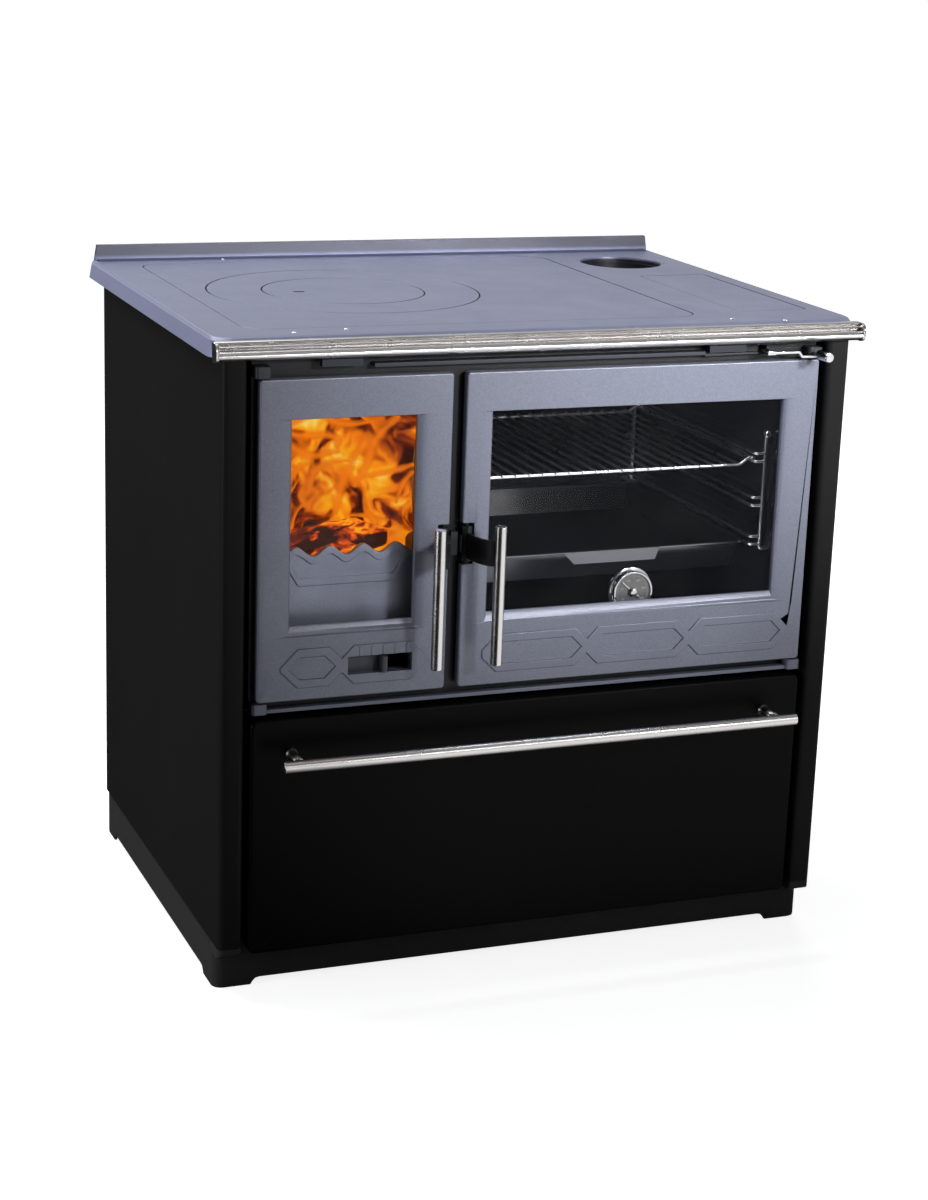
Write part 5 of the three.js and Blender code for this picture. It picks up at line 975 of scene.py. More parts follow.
class COOKSTOVE_OT_cooking_top(StoveOperator):
    """Cooking top with its lift-out plates and the flue collar"""
    bl_idname = "cookstove.cooking_top"
    bl_label = "Cooking top"

    def build(self, look):
        seat(refined("top_casting", "top_frame"), "stove", "top iron", "top_cast_iron",
             "top_frame")
        for node in ("hotplate", "hotplate_ring", "hotplate_disc", "soot_cover"):
            seat(refined(f"{node}_casting", node, 0.0012), node, "top iron", "top_cast_iron", node)
        self.collar()
        dress("flue_clamp", "chrome")
        self.screws()

    def collar(self):
        low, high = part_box("flue_collar")
        x, y = (low.x + high.x) / 2, (low.y + high.y) / 2
        top, flange = high.z, 0.838
        ring = turned("flue_ring", "z", (x, y, 0.0), [
            (0.056, low.z), (0.062, low.z), (0.062, flange - 0.006), (0.071, flange - 0.006),
            (0.071, flange - 0.0003), (0.065, flange - 0.0003), (0.065, top - 0.0008),
            (0.0644, top), (0.0608, top), (0.06, top - 0.001), (0.06, top - 0.008),
            (0.056, top - 0.008), (0.056, low.z)], 96)
        seat(ring, "stove", "flue iron", "grey_cast_iron", "flue_collar")

    def screws(self):
        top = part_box("hotplate")[1].z
        points = [(-0.3275, -0.269, top), (-0.2565, -0.2555, top), (0.2655, -0.267, top),
                  (0.331, -0.2885, top), (-0.246, 0.338, top)]
        heads = grown("top_screws", stud_tree(), "chrome",
                      {"Radius": 0.0034, "Rise": 0.42, "Facing": (0.0, 0.0, 0.0)}, points)
        seat(heads, "stove", "chrome", "dark_steel")


class COOKSTOVE_OT_rail(StoveOperator):
    """Half-round stainless rail along the front of the top"""
    bl_idname = "cookstove.rail"
    bl_label = "Front rail"

    def build(self, look):
        seat(refined("rail", "front_rail", sharp=50.0), "stove", "stainless steel",
             "stainless_steel", "front_rail")


class COOKSTOVE_OT_firebox(StoveOperator):
    """Firebox with its linings, grate, ash pan and log guard"""
    bl_idname = "cookstove.firebox"
    bl_label = "Firebox"

    def build(self, look):
        seat(refined("log_guard", "fire_guard", 0.0009, sharp=45.0), "stove", "guard iron",
             "grey_cast_iron", "fire_guard")
        for node in ("firebox_lining_left", "firebox_lining_right", "firebox_lining_rear",
                     "fire_grate", "firebox_shell"):
            dress(node, "burnt iron")
        for node in ("ash_pan", "smoke_box"):
            dress(node, "inner steel")


# Across and height as shares of the window over the guard, half width in millimetres, heat.
TONGUES = (
    ([(0.0, 0.72, 8), (0.12, 0.71, 9), (0.25, 0.65, 9), (0.36, 0.645, 7), (0.5, 0.67, 6)], 1.0),
    ([(0.5, 0.67, 6), (0.52, 0.73, 6), (0.42, 0.765, 7), (0.2, 0.77, 7), (0.1, 0.82, 4)], 0.86),
    ([(0.08, 0.79, 3), (0.18, 0.84, 8), (0.32, 0.885, 8), (0.46, 0.93, 3)], 0.72),
    ([(0.49, 0.2, 5), (0.52, 0.36, 9), (0.56, 0.5, 11), (0.63, 0.64, 5), (0.7, 0.8, 2)], 0.68),
    ([(-0.02, 0.13, 9), (0.05, 0.22, 9), (0.14, 0.31, 5), (0.24, 0.45, 1.5)], 0.84),
    ([(0.13, 0.11, 3), (0.19, 0.26, 3), (0.3, 0.33, 3.5), (0.42, 0.37, 3), (0.5, 0.43, 1.5)], 0.7),
    ([(0.77, 0.05, 3), (0.77, 0.16, 6), (0.71, 0.24, 3), (0.7, 0.36, 2), (0.66, 0.46, 1)], 0.85),
    ([(0.62, 0.17, 2), (0.72, 0.18, 4.5), (0.87, 0.17, 1.5)], 0.8),
    ([(0.62, 0.4, 4), (0.7, 0.56, 8), (0.76, 0.76, 8), (0.9, 0.93, 4)], 0.55),
    ([(0.68, 0.46, 4), (0.86, 0.52, 6), (1.0, 0.6, 3)], 0.5),
    ([(0.1, 0.3, 4), (0.12, 0.46, 7), (0.2, 0.56, 6), (0.3, 0.6, 2)], 0.5),
    ([(0.3, 0.36, 6), (0.34, 0.5, 9), (0.45, 0.56, 6), (0.6, 0.58, 3)], 0.5),
    ([(0.2, 0.0, 3.5), (0.2, 0.06, 4), (0.22, 0.12, 1)], 1.0),
    ([(0.3, 0.98, 5), (0.48, 0.86, 6), (0.62, 0.85, 5), (0.8, 0.9, 2)], 0.52),
    ([(0.9, 0.3, 2), (0.94, 0.45, 4), (1.0, 0.55, 2)], 0.45),
)

# Left end, right end, depth behind the doors, height, radius and slope of each log.
LOGS = (
    (-0.332, -0.182, 0.075, 0.53, 0.024, 0.02),
    (-0.33, -0.178, 0.122, 0.531, 0.025, -0.03),
    (-0.33, -0.186, 0.17, 0.53, 0.024, 0.04),
    (-0.322, -0.184, 0.098, 0.57, 0.022, 0.12),
    (-0.32, -0.19, 0.148, 0.572, 0.023, -0.1),
)


class COOKSTOVE_OT_fire(StoveOperator):
    """Logs, embers and flames"""
    bl_idname = "cookstove.fire"
    bl_label = "Fire"

    left, right = -0.3385, -0.1685
    guard_top, window_top = 0.572, 0.752

    def plan(self, across, behind, z):
        """Point of the curved fire sheet, which comes forward along the right lining, and over
        the guard as far as the frame."""
        x = self.left + (self.right - self.left) * min(max(across, 0.0), 1.0)
        forward = min(max(0.0, across - 0.45) / 0.55, 1.0)
        above = min(max((z - 0.583) / 0.012, 0.0), 1.0)
        y = depth(0.052 - 0.028 * above * forward ** 1.6
                  + behind * (1.0 - 0.92 * forward ** 1.6))
        return x, y

    def build(self, look):
        self.sheet()
        self.tongues()
        self.logs()
        self.ember_bed()
        lamp = bpy.data.lights.new("fire_lamp", "POINT")
        lamp.energy = look.fire.light
        lamp.color = (1.0, 0.45, 0.12)
        lamp.shadow_soft_size = 0.05
        lit = link(bpy.data.objects.new("fire_lamp", lamp))
        lit.location = (-0.25, depth(0.2), 0.66)

    def sheet(self):
        bm = bmesh.new()
        flow = bm.loops.layers.uv.new("flow")
        low, high = 0.5, 0.79
        columns, rows = 48, 40
        grid = []
        for j in range(rows + 1):
            z = low + (high - low) * j / rows
            line = []
            for i in range(columns + 1):
                x, y = self.plan(i / columns, 0.075, z)
                y += 0.006 * math.sin(i * 0.55 + j * 0.3)
                line.append(bm.verts.new((x, y, z)))
            grid.append(line)
        for j in range(rows):
            for i in range(columns):
                face = bm.faces.new((grid[j][i], grid[j][i + 1], grid[j + 1][i + 1],
                                     grid[j + 1][i]))
                for loop, (du, dv) in zip(face.loops, ((0, 0), (1, 0), (1, 1), (0, 1))):
                    loop[flow].uv = ((i + du) / columns * 0.17,
                                     (j + dv) / rows * (high - low))
        seat(from_bmesh("flame_wall", bm), "stove", "flames", "fire_iron")

    def tongues(self):
        bm = bmesh.new()
        flow = bm.loops.layers.uv.new("flow")
        heat = bm.verts.layers.float.new("heat")
        for number, (points, hot) in enumerate(TONGUES):
            behind = 0.022 + 0.04 * ((number * 7) % 5) / 5
            self.ribbon(bm, flow, heat, points, hot, behind)
        seat(from_bmesh("flame_tongues", bm), "stove", "flame tongues", "fire_iron")

    def ribbon(self, bm, flow, heat, points, hot, behind):
        rise = self.window_top - self.guard_top
        steps = 7
        track = []
        for k in range(len(points) - 1):
            before = Vector(points[max(k - 1, 0)])
            here, there = Vector(points[k]), Vector(points[k + 1])
            after = Vector(points[min(k + 2, len(points) - 1)])
            for s in range(steps + (k == len(points) - 2)):
                t = s / steps
                track.append(0.5 * (2 * here + (there - before) * t
                                    + (2 * before - 5 * here + 4 * there - after) * t * t
                                    + (3 * here - before - 3 * there + after) * t ** 3))
        lines = []
        for k, point in enumerate(track):
            ahead = track[min(k + 1, len(track) - 1)] - track[max(k - 1, 0)]
            along = Vector((ahead.x * 0.17, ahead.y * rise)).normalized()
            side = Vector((-along.y, along.x))
            half = point.z / 1000
            line = []
            for v in (-1.0, -0.5, 0.0, 0.5, 1.0):
                across = point.x + side.x * half * v / 0.17
                z = self.guard_top + point.y * rise + side.y * half * v
                x, y = self.plan(across, behind - 0.006 * (1 - v * v), z)
                vert = bm.verts.new((x, y, z))
                vert[heat] = hot
                line.append(vert)
            lines.append(line)
        count = len(lines) - 1
        for k in range(count):
            for i in range(4):
                face = bm.faces.new((lines[k][i], lines[k + 1][i], lines[k + 1][i + 1],
                                     lines[k][i + 1]))
                for loop, (du, dv) in zip(face.loops, ((0, 0), (1, 0), (1, 1), (0, 1))):
                    loop[flow].uv = ((k + du) / count, (i + dv) / 4)

    def logs(self):
        """Charred split logs, stacked behind the guard."""
        random.seed(4)
        parts = []
        for x0, x1, back, z, radius, tilt in LOGS:
            parts.append(self.log(x0, x1, depth(back), z, radius, tilt))
        seat(joined("logs", parts), "stove", "burning logs", "fire_iron")

    def log(self, x0, x1, y, z, radius, tilt):
        bm = bmesh.new()
        rings, sides = 22, 20
        seed = Vector((random.random(), random.random(), random.random())) * 9
        loops = []
        for i in range(rings + 1):
            x = x0 + (x1 - x0) * i / rings
            loop = []
            for k in range(sides):
                a = 2 * math.pi * k / sides
                grain = noise.noise(Vector((x * 25, math.cos(a) * 1.7, math.sin(a) * 1.7)) + seed)
                lump = noise.noise(Vector((x * 90, math.cos(a) * 5, math.sin(a) * 5)) + seed)
                r = radius * (1 + 0.2 * grain + 0.09 * lump)
                loop.append(bm.verts.new((x, y + r * math.cos(a), z + r * math.sin(a)
                                          + tilt * (x - (x0 + x1) / 2))))
            loops.append(loop)
        for near, far in zip(loops, loops[1:]):
            for k in range(sides):
                j = (k + 1) % sides
                bm.faces.new((near[k], far[k], far[j], near[j]))
        bm.faces.new(loops[0])
        bm.faces.new(list(reversed(loops[-1])))
        bmesh.ops.recalc_face_normals(bm, faces=bm.faces[:])
        for face in bm.faces:
            face.smooth = True
        return from_bmesh("log", bm)

    def ember_bed(self):
        bm = bmesh.new()
        low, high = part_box("fire_grate")
        x0, x1 = self.left + 0.004, self.right - 0.004
        y0, y1 = depth(0.05), depth(0.415)
        bmesh.ops.create_grid(bm, x_segments=60, y_segments=100, size=0.5)
        for vert in bm.verts:
            x = x0 + (vert.co.x + 0.5) * (x1 - x0)
            y = y0 + (vert.co.y + 0.5) * (y1 - y0)
            lump = noise.noise(Vector((x * 60, y * 60, 1.0)))
            cell = noise.cell(Vector((x * 75, y * 75, 2.0)))
            vert.co = (x, y, high.z + 0.016 + 0.008 * lump + 0.005 * cell)
        rim = [e for e in bm.edges if e.is_boundary]
        painted_skirt_light = bmesh.ops.extrude_edge_only(bm, edges=rim)["geom"]
        for vert in (g for g in painted_skirt_light if isinstance(g, bmesh.types.BMVert)):
            vert.co.z = high.z + 0.0005
        bmesh.ops.holes_fill(bm, edges=[e for e in bm.edges if e.is_boundary], sides=0)
        bmesh.ops.recalc_face_normals(bm, faces=bm.faces[:])
        for face in bm.faces:
            face.smooth = True
        seat(from_bmesh("ember_bed", bm), "stove", "embers", "fire_iron")


class COOKSTOVE_OT_oven(StoveOperator):
    """Oven box, ladders, wire shelf and baking tray"""
    bl_idname = "cookstove.oven"
    bl_label = "Oven"

    levels = (0.536, 0.590, 0.651)
    pair = 0.011
    front, back = 0.084, 0.5

    def build(self, look):
        dress("oven_box", "oven enamel")
        seat(refined("tray", "baking_tray"), "stove", "tray enamel", "oven_enamel", "baking_tray")
        self.ladder("left", -0.086, 1.0, look.oven)
        self.ladder("right", 0.362, -1.0, look.oven)
        self.shelf(look.oven)
        self.lamp(look.oven)

    def lamp(self, look):
        """Light that finds its way in through the glass."""
        for place, turn, size in (((0.13, depth(0.04), 0.766), 30, (0.4, 0.02)),
                                  ((0.13, depth(0.03), 0.42), 115, (0.4, 0.02))):
            lamp = bpy.data.lights.new("oven_lamp", "AREA")
            lamp.shape = "RECTANGLE"
            lamp.size, lamp.size_y = size
            lamp.energy = look.light
            lamp.color = (0.85, 0.88, 1.0)
            lit = link(bpy.data.objects.new("oven_lamp", lamp))
            lit.location = place
            lit.rotation_euler = (math.radians(turn), 0.0, 0.0)
            lit.visible_camera = False

    def ladder(self, side, wall, inward, look):
        """Uprights hooked to the wall, with pairs of rails bent away from them."""
        x = wall + inward * 0.006
        rail = x + inward * 0.015
        y0, y1 = depth(self.front), depth(self.back)
        low = self.levels[0] - self.pair / 2 - 0.01
        high = self.levels[-1] + self.pair / 2 + 0.028
        rails = [[(x, y0, z), (rail, y0, z), (rail, y1, z), (x, y1, z)]
                 for level in self.levels for z in (level - self.pair / 2, level + self.pair / 2)]
        start = wall + inward * 0.0006
        posts = [[(start, y, low + 0.004), (x, y, low + 0.004), (x, y, high - 0.003),
                  (start, y, high - 0.003)] for y in (y0, y1)]
        parts = [wires("rails", rails, look.wire_radius * 0.95, "oven wire", look.corner),
                 wires("posts", posts, look.wire_radius * 1.2, "oven wire", 0.0025)]
        for y in (y0, y1):
            parts.append(turned("head", "y", (x, y - 0.006, high - 0.001), [
                (0, 0), (0.0032, 0), (0.0045, 0.0012), (0.0047, 0.003), (0.0045, 0.006), (0, 0.006)
            ], 24))
        seat(joined(f"ladder_{side}", parts), "stove", "oven wire", "chrome",
             f"oven_guide_{side}")
        bpy.data.objects[f"ladder_{side}"].data.shade_smooth()

    def shelf(self, look):
        """Frame rods that drop between the rails, and thin bars from front to back."""
        low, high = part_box("wire_shelf")
        level, drop = high.z - 0.0022, 0.009
        base = level - drop
        left, right = low.x + 0.0022, high.x - 0.0022
        inner = (left + 0.0062, right - 0.0062)
        rise = 0.013
        y0, y1 = low.y + 0.004, high.y - 0.004
        cross = [[(left, y, level), (inner[0], y, level), (inner[0] + rise, y, base),
                  (inner[1] - rise, y, base), (inner[1], y, level), (right, y, level)]
                 for y in (y0, y1)]
        sides = [[(x, low.y, level), (x, high.y, level)] for x in (left, right)]
        frame_wires = wires("shelf_frame", cross + sides, look.wire_radius, "oven wire", 0.004)
        first, last = inner[0] + rise + 0.004, inner[1] - rise - 0.004
        step = (last - first) / (look.bars - 1)
        bars = grown("shelf_bars", bar_tree(), "oven wire", {
            "Count": look.bars, "Start": (first, (low.y + high.y) / 2, base + 0.0016),
            "Step": (step, 0.0, 0.0), "Length": high.y - low.y, "Radius": look.bar_radius})
        ends = [(first + step * i, y, base + 0.0016) for i in range(look.bars)
                for y in (low.y + 0.0005, high.y - 0.0005)]
        knobs = grown("bar_ends", stud_tree(), "oven wire",
                      {"Radius": look.bar_radius * 1.25, "Rise": 1.0, "Facing": (0.0, 0.0, 0.0)},
                      ends)
        shelf = joined("shelf", [frame_wires, bars, knobs])
        smooth(shelf, 50.0)
        seat(shelf, "stove", "oven wire", "chrome", "wire_shelf")


class COOKSTOVE_OT_doors(StoveOperator):
    """Cast doors with their glass, seals and air slide"""
    bl_idname = "cookstove.doors"
    bl_label = "Doors"

    def build(self, look):
        for door in ("firebox", "oven"):
            seat(refined(f"{door}_door_casting", f"{door}_door", 0.0005), f"{door}_door",
                 "door iron", "grey_cast_iron", f"{door}_door")
            dress(f"{door}_glass", "door glass")
            dress(f"{door}_glass_retainer", "inner steel")
            dress(f"{door}_door_seal", "rope")
            dress(f"{door}_handle_pin", "black iron")
        seat(refined("air_shutter", "air_slide", 0.0005), "air_slide", "shutter iron",
             "grey_cast_iron", "air_slide")
        dress("air_slide_keeper", "inner steel")


class COOKSTOVE_OT_handles(StoveOperator):
    """Door handles: black levers with stainless rods"""
    bl_idname = "cookstove.handles"
    bl_label = "Door handles"

    def build(self, look):
        for door in ("firebox", "oven"):
            body = f"{door}_handle"
            seat(refined(f"{door}_lever", f"{body}_lever", 0.0008), body, "black iron",
                 "black_iron", f"{body}_lever")
            low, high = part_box(f"{body}_rod")
            x, y = (low.x + high.x) / 2, (low.y + high.y) / 2
            rod = turned(f"{door}_rod", "z", (x, y, 0.0), rounded_rod(0.0075, low.z, high.z))
            seat(rod, body, "stainless rod", "stainless_steel", f"{body}_rod")


class COOKSTOVE_OT_thermometer(StoveOperator):
    """Oven thermometer with its bezel, dial, marks and hand"""
    bl_idname = "cookstove.thermometer"
    bl_label = "Thermometer"

    def build(self, look):
        low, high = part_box("thermometer_needle")
        case_low, case_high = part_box("thermometer_case")
        x = (case_low.x + case_high.x) / 2
        z = case_high.z - 0.031
        front = depth(0.0179)
        rim = turned("dial_can", "y", (x, front, z), [
            (0, 0.0042), (0.0243, 0.0042), (0.0247, 0.0012), (0.0252, 0.0003), (0.026, 0.0),
            (0.0272, 0.0002), (0.028, 0.0012), (0.028, 0.0098), (0.0303, 0.0102), (0.031, 0.011),
            (0.031, 0.0125), (0.0303, 0.013), (0.009, 0.013), (0.008, 0.019), (0, 0.019)], 96)
        foot = refined("dial_foot", "thermometer_case")
        bm = bmesh.new()
        bm.from_mesh(foot.data)
        above = [v for v in bm.verts if v.co.z > z - 0.0265]
        bmesh.ops.delete(bm, geom=above, context="VERTS")
        bmesh.ops.holes_fill(bm, edges=[e for e in bm.edges if e.is_boundary], sides=0)
        bpy.data.objects.remove(foot)
        plate = from_bmesh("dial_foot", bm)
        seat(joined("dial_case", [rim, plate]), "oven_door", "chrome", "chrome",
             "thermometer_case")
        face = turned("dial_plate", "y", (x, front + 0.0030, z), [
            (0, 0), (0.0240, 0), (0.0242, 0.0002), (0.0242, 0.001), (0, 0.001)], 96)
        seat(face, "oven_door", "dial face", "chrome")
        ticks = grown("dial_ticks", tick_tree(), "dial print", {
            "Count": look.oven.ticks, "Centre": (x, front + 0.0028, z), "Ring": 0.0215,
            "Sweep": math.radians(250), "Length": 0.0016})
        seat(ticks, "oven_door", "dial print", "chrome")
        self.numbers(x, front + 0.0027, z)
        self.hand(x, z, front)

    def numbers(self, x, y, z):
        made = []
        for i, label in enumerate(("50", "100", "150", "200", "250", "300")):
            angle = math.radians(-125 + 50 * i)
            curve = bpy.data.curves.new("number", "FONT")
            curve.body = label
            curve.size = 0.0042
            curve.align_x = "CENTER"
            curve.align_y = "CENTER"
            curve.extrude = 0.0001
            text = link(bpy.data.objects.new("number", curve))
            graph = bpy.context.evaluated_depsgraph_get()
            mesh = bpy.data.meshes.new_from_object(text.evaluated_get(graph))
            bpy.data.objects.remove(text)
            mesh.transform(Matrix.Translation((x + 0.0165 * math.sin(angle), y,
                                               z + 0.0165 * math.cos(angle)))
                           @ Matrix.Rotation(math.pi / 2, 4, "X"))
            made.append(link(bpy.data.objects.new("number", mesh)))
        seat(joined("dial_numbers", made), "oven_door", "dial print", "chrome")

    def hand(self, x, z, front):
        """The hand with its round hub and the bulb at its tail."""
        hub = turned("hub", "y", (x, front - 0.0014, z), [
            (0, 0), (0.0036, 0.0), (0.005, 0.0007), (0.0062, 0.0018), (0.0062, 0.003),
            (0.004, 0.0041), (0, 0.0041)], 48)
        blade = turned("blade", "z", (0, 0, 0), [
            (0, -0.012), (0.0019, -0.0112), (0.0021, -0.0095), (0.0012, -0.006), (0.0012, 0.012),
            (0.0007, 0.021), (0, 0.022)], 16)
        blade.data.transform(Matrix.Translation((x, front + 0.0018, z))
                             @ Matrix.Rotation(math.radians(-48), 4, "Y")
                             @ Matrix.Diagonal((1, 0.4, 1, 1)))
        seat(joined("dial_hand", [hub, blade]), "thermometer_needle", "chrome", "chrome",
             "thermometer_needle")
        bpy.data.objects["dial_hand"].data.shade_smooth()


class COOKSTOVE_OT_drawer(StoveOperator):
    """Wood drawer with its bar handle"""
    bl_idname = "cookstove.drawer"
    bl_label = "Wood drawer"

    def build(self, look):
        seat(refined("drawer_panel", "drawer_front"), "drawer", "front enamel", "black_enamel",
             "drawer_front")
        for node in ("drawer_box", "drawer_plate", "drawer_runner_right", "drawer_runner_left"):
            dress(node, "inner steel")
        low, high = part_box("drawer_handle")
        y, z = low.y + 0.008, (low.z + high.z) / 2
        bar = turned("bar", "x", (0.0, y, z), rounded_rod(0.008, low.x, high.x))
        parts = [bar]
        reach = high.y - y
        for x in (-0.332, 0.332):
            parts.append(turned("post", "y", (x, y + 0.002, z), [
                (0, 0), (0.006, 0), (0.006, reach - 0.011), (0.0064, reach - 0.009),
                (0.0076, reach - 0.0066), (0.0084, reach - 0.0052), (0.0086, reach - 0.0035),
                (0.0084, reach - 0.002), (0, reach - 0.002)], 48))
        seat(joined("drawer_bar", parts), "drawer", "stainless steel", "stainless_steel",
             "drawer_handle")
        smooth(bpy.data.objects["drawer_bar"], 50.0)


class COOKSTOVE_OT_damper(StoveOperator):
    """Flue damper with its rod and knob"""
    bl_idname = "cookstove.damper"
    bl_label = "Flue damper"

    def build(self, look):
        seat(refined("damper_strap", "damper_rod", 0.0005), "flue_damper", "chrome", "dark_steel",
             "damper_rod")
        dress("damper_plate", "inner steel")
        low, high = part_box("damper_knob")
        x, z = (low.x + high.x) / 2, (low.z + high.z) / 2
        run = high.y - low.y
        knob = turned("knob", "y", (x, low.y, z), [
            (0, 0), (0.0048, 0), (0.0058, 0.0005), (0.0065, 0.0017), (0.0065, run - 0.004),
            (0.005, run), (0, run)], 64)
        seat(knob, "flue_damper", "chrome", "chrome", "damper_knob")


class COOKSTOVE_OT_stage(StoveOperator):
    """Pale floor, soft lamps and the camera"""
    bl_idname = "cookstove.stage"
    bl_label = "Stage"

    def build(self, look):
        bpy.context.scene.view_settings.view_transform = "Standard"
        self.floor(look.stage)
        self.world(look.stage)
        self.lamps(look.stage)
        self.camera()

    def floor(self, look):
        material, tree, shader, place = start("pale floor", Roughness=0.9,
                                              Specular_IOR_Level=0.1)
        grain = put(tree, "ShaderNodeTexNoise", {"Vector": place, "Scale": 400.0, "Detail": 2.0})
        pale = blend_colour(tree, grain.outputs["Fac"], scaled(look.floor, 0.99), look.floor)
        path = put(tree, "ShaderNodeLightPath").outputs
        axes = put(tree, "ShaderNodeSeparateXYZ", {0: place}).outputs
        bright = math_node(tree, "MULTIPLY", spread(tree, axes["X"], 0.0, 1.0, -0.35, 0.0),
                           spread(tree, axes["Y"], 1.0, 0.0, -0.6, -0.25))
        dim = math_node(tree, "MULTIPLY", path["Is Glossy Ray"],
                        math_node(tree, "SUBTRACT", 1.0, bright))
        dim = math_node(tree, "MAXIMUM", dim, math_node(tree, "MULTIPLY",
                                                        path["Is Diffuse Ray"], 0.6))
        tree.links.new(blend_colour(tree, dim, pale, (0.0, 0.0, 0.0)),
                       shader.inputs["Base Color"])
        seen = math_node(tree, "MAXIMUM", path["Is Camera Ray"],
                         math_node(tree, "MAXIMUM", math_node(tree, "MULTIPLY", bright,
                                                              path["Is Glossy Ray"]),
                                   path["Is Transmission Ray"]))
        away = put(tree, "ShaderNodeVectorMath", {0: place}, operation="LENGTH").outputs["Value"]
        tree.links.new(math_node(tree, "MULTIPLY", seen, spread(tree, away, 0.86, 1.0, 1.2, 4.0)),
                       shader.inputs["Emission Strength"])
        shader.inputs["Emission Color"].default_value = (1, 1, 1, 1)
        material.cycles.emission_sampling = "NONE"
        bm = bmesh.new()
        bmesh.ops.create_circle(bm, cap_ends=True, segments=64, radius=30.0)
        ground = from_bmesh("studio_floor", bm)
        ground.data.materials.append(material)

    def world(self, look):
        """White for the eye and through glass; bright metal sees a soft light at the right, with
        two dark seams over it, and a pale wall behind the stove."""
        world = bpy.data.worlds.new("studio")
        bpy.context.scene.world = world
        world.use_nodes = True
        world.cycles.sampling_method = "NONE"
        tree = world.node_tree
        tree.nodes.clear()
        path = put(tree, "ShaderNodeLightPath").outputs
        seen = math_node(tree, "MAXIMUM", path["Is Camera Ray"], path["Is Transmission Ray"])
        way = put(tree, "ShaderNodeTexCoord").outputs["Generated"]
        axes = put(tree, "ShaderNodeSeparateXYZ", {0: way}).outputs
        rising = ramp(tree, axes["Z"], [(0.0, 0.85), (0.62, 0.85), (0.66, 0.02), (0.7, 0.02),
                                        (0.73, 0.4), (0.76, 0.02), (0.8, 0.02), (0.84, 0.5)])
        right = math_node(tree, "MULTIPLY", spread(tree, axes["X"], 0.02, 1.0, 0.0, 0.2),
                          spread(tree, axes["Y"], 1.0, 0.0, -0.05, 0.05))
        wall = math_node(tree, "MAXIMUM", math_node(tree, "MULTIPLY", rising, right),
                         spread(tree, axes["Y"], 0.03, 0.6, 0.0, 0.3))
        soft = put(tree, "ShaderNodeBackground", {"Color": (0.94, 0.97, 1, 1),
                                                  "Strength": look.sky})
        room = put(tree, "ShaderNodeBackground", {"Color": (1, 1, 1, 1), "Strength": wall})
        white = put(tree, "ShaderNodeBackground", {"Color": (1, 1, 1, 1), "Strength": 1.0})
        gloss = put(tree, "ShaderNodeMixShader", {0: path["Is Glossy Ray"], 1: soft.outputs[0],
                                                  2: room.outputs[0]})
        mixed = put(tree, "ShaderNodeMixShader", {0: seen, 1: gloss.outputs[0],
                                                  2: white.outputs[0]})
        out = tree.nodes.new("ShaderNodeOutputWorld")
        tree.links.new(mixed.outputs[0], out.inputs["Surface"])

    def lamps(self, look):
        cool, warm = (0.97, 0.98, 1.0), (1.0, 0.99, 0.97)
        for name, place, aim, size, power, tint, cone in (
                ("upper_lamp", (0.6, -2.4, 1.5), (0.1, -0.3, 0.92), 0.15, look.upper, cool, 30),
                ("right_lamp", (0.9, -1.5, 1.25), (0.3, -0.3, 0.83), 0.1, look.right, cool, 38),
                ("overhead_lamp", (-0.9, 1.3, 3.0), (0.0, -0.1, 0.5), 2.4, look.overhead, cool, 0),
                ("side_lamp", (-2.5, -0.5, 0.6), (0.0, 0.0, 0.5), 1.0, look.side, cool, 0),
                ("front_lamp", (2.6, -3.0, 2.4), (0.0, -0.1, 0.5), 1.5, look.key, warm, 0),
                ("rear_lamp", (1.6, 3.2, 1.8), (0.0, 0.3, 0.5), 1.5, look.rear, cool, 0)):
            lamp = bpy.data.lights.new(name, "SPOT" if cone else "AREA")
            if cone:
                lamp.spot_size = math.radians(cone)
                lamp.spot_blend = 1.0
                lamp.shadow_soft_size = size
            else:
                lamp.size = size
            lamp.energy = power
            lamp.color = tint
            lit = link(bpy.data.objects.new(name, lamp))
            lit.location = place
            lit.rotation_euler = (Vector(place) - Vector(aim)).to_track_quat("Z", "Y").to_euler()
            lit.visible_glossy = name != "rear_lamp"

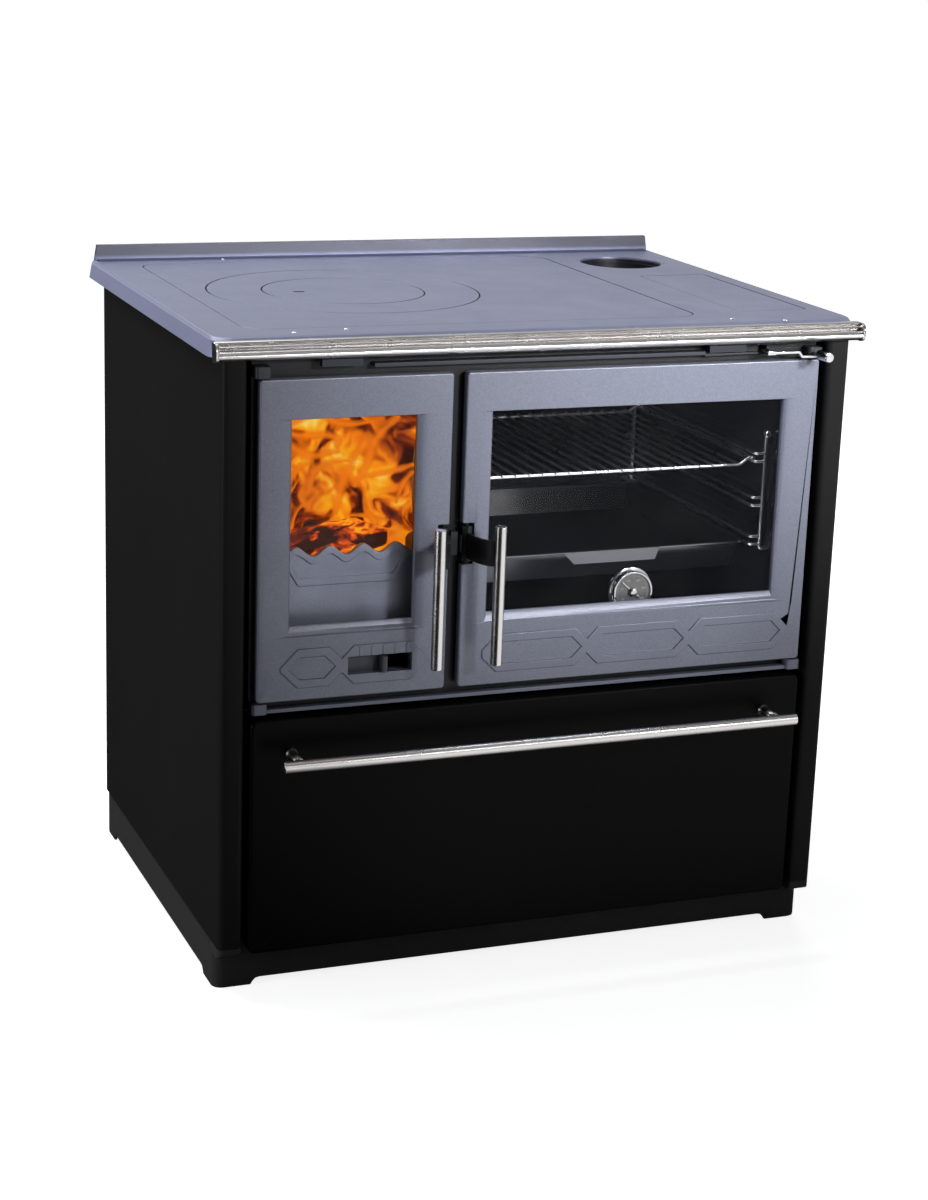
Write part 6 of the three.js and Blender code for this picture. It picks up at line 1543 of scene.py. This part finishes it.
    def camera(self):
        yaw, pitch, roll = -0.3769, -0.2765, 0.0353
        focal_pixels = 2479.8464
        ahead = Vector((-math.sin(yaw) * math.cos(pitch), math.cos(yaw) * math.cos(pitch),
                        math.sin(pitch)))
        right = Vector((math.cos(yaw), math.sin(yaw), 0.0))
        up = right.cross(ahead)
        turned_right = math.cos(roll) * right + math.sin(roll) * up
        turned_up = -math.sin(roll) * right + math.cos(roll) * up
        place = Vector((-1.2187994, -3.1085771, 1.3644974))
        data = bpy.data.cameras.new("camera")
        data.sensor_width = 36.0
        data.lens = focal_pixels / IMAGE_LONG_SIDE * data.sensor_width
        camera = link(bpy.data.objects.new("camera", data))
        camera.matrix_world = Matrix((
            (turned_right.x, turned_up.x, -ahead.x, place.x),
            (turned_right.y, turned_up.y, -ahead.y, place.y),
            (turned_right.z, turned_up.z, -ahead.z, place.z),
            (0.0, 0.0, 0.0, 1.0)))
        bpy.context.scene.camera = camera


STEPS = (
    COOKSTOVE_OT_stage, COOKSTOVE_OT_casing, COOKSTOVE_OT_cooking_top, COOKSTOVE_OT_rail,
    COOKSTOVE_OT_firebox, COOKSTOVE_OT_fire, COOKSTOVE_OT_oven, COOKSTOVE_OT_doors,
    COOKSTOVE_OT_handles, COOKSTOVE_OT_thermometer, COOKSTOVE_OT_drawer, COOKSTOVE_OT_damper,
)


class COOKSTOVE_PT_panel(Panel):
    """Settings and building steps of the cookstove"""
    bl_idname = "COOKSTOVE_PT_panel"
    bl_label = "Cookstove"
    bl_space_type = "VIEW_3D"
    bl_region_type = "UI"
    bl_category = "Cookstove"

    def draw(self, context):
        look = context.scene.cookstove
        for step in STEPS:
            self.layout.operator(step.bl_idname)
        for name in ("iron", "sheet", "steel", "oven", "fire", "stage"):
            box = self.layout.box()
            box.label(text=name.capitalize())
            part = getattr(look, name)
            for key in part.__annotations__:
                box.prop(part, key)


CLASSES = (IronSettings, SheetSettings, SteelSettings, OvenSettings, FireSettings, StageSettings,
           CookstoveSettings, *STEPS, COOKSTOVE_PT_panel)


def register():
    for each in CLASSES:
        bpy.utils.register_class(each)
    bpy.types.Scene.cookstove = PointerProperty(type=CookstoveSettings)


def unregister():
    del bpy.types.Scene.cookstove
    for each in reversed(CLASSES):
        bpy.utils.unregister_class(each)


def main():
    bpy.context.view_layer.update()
    register()
    for step in STEPS:
        group, action = step.bl_idname.split(".")
        getattr(getattr(bpy.ops, group), action)()


if __name__ == "__main__":
    main()
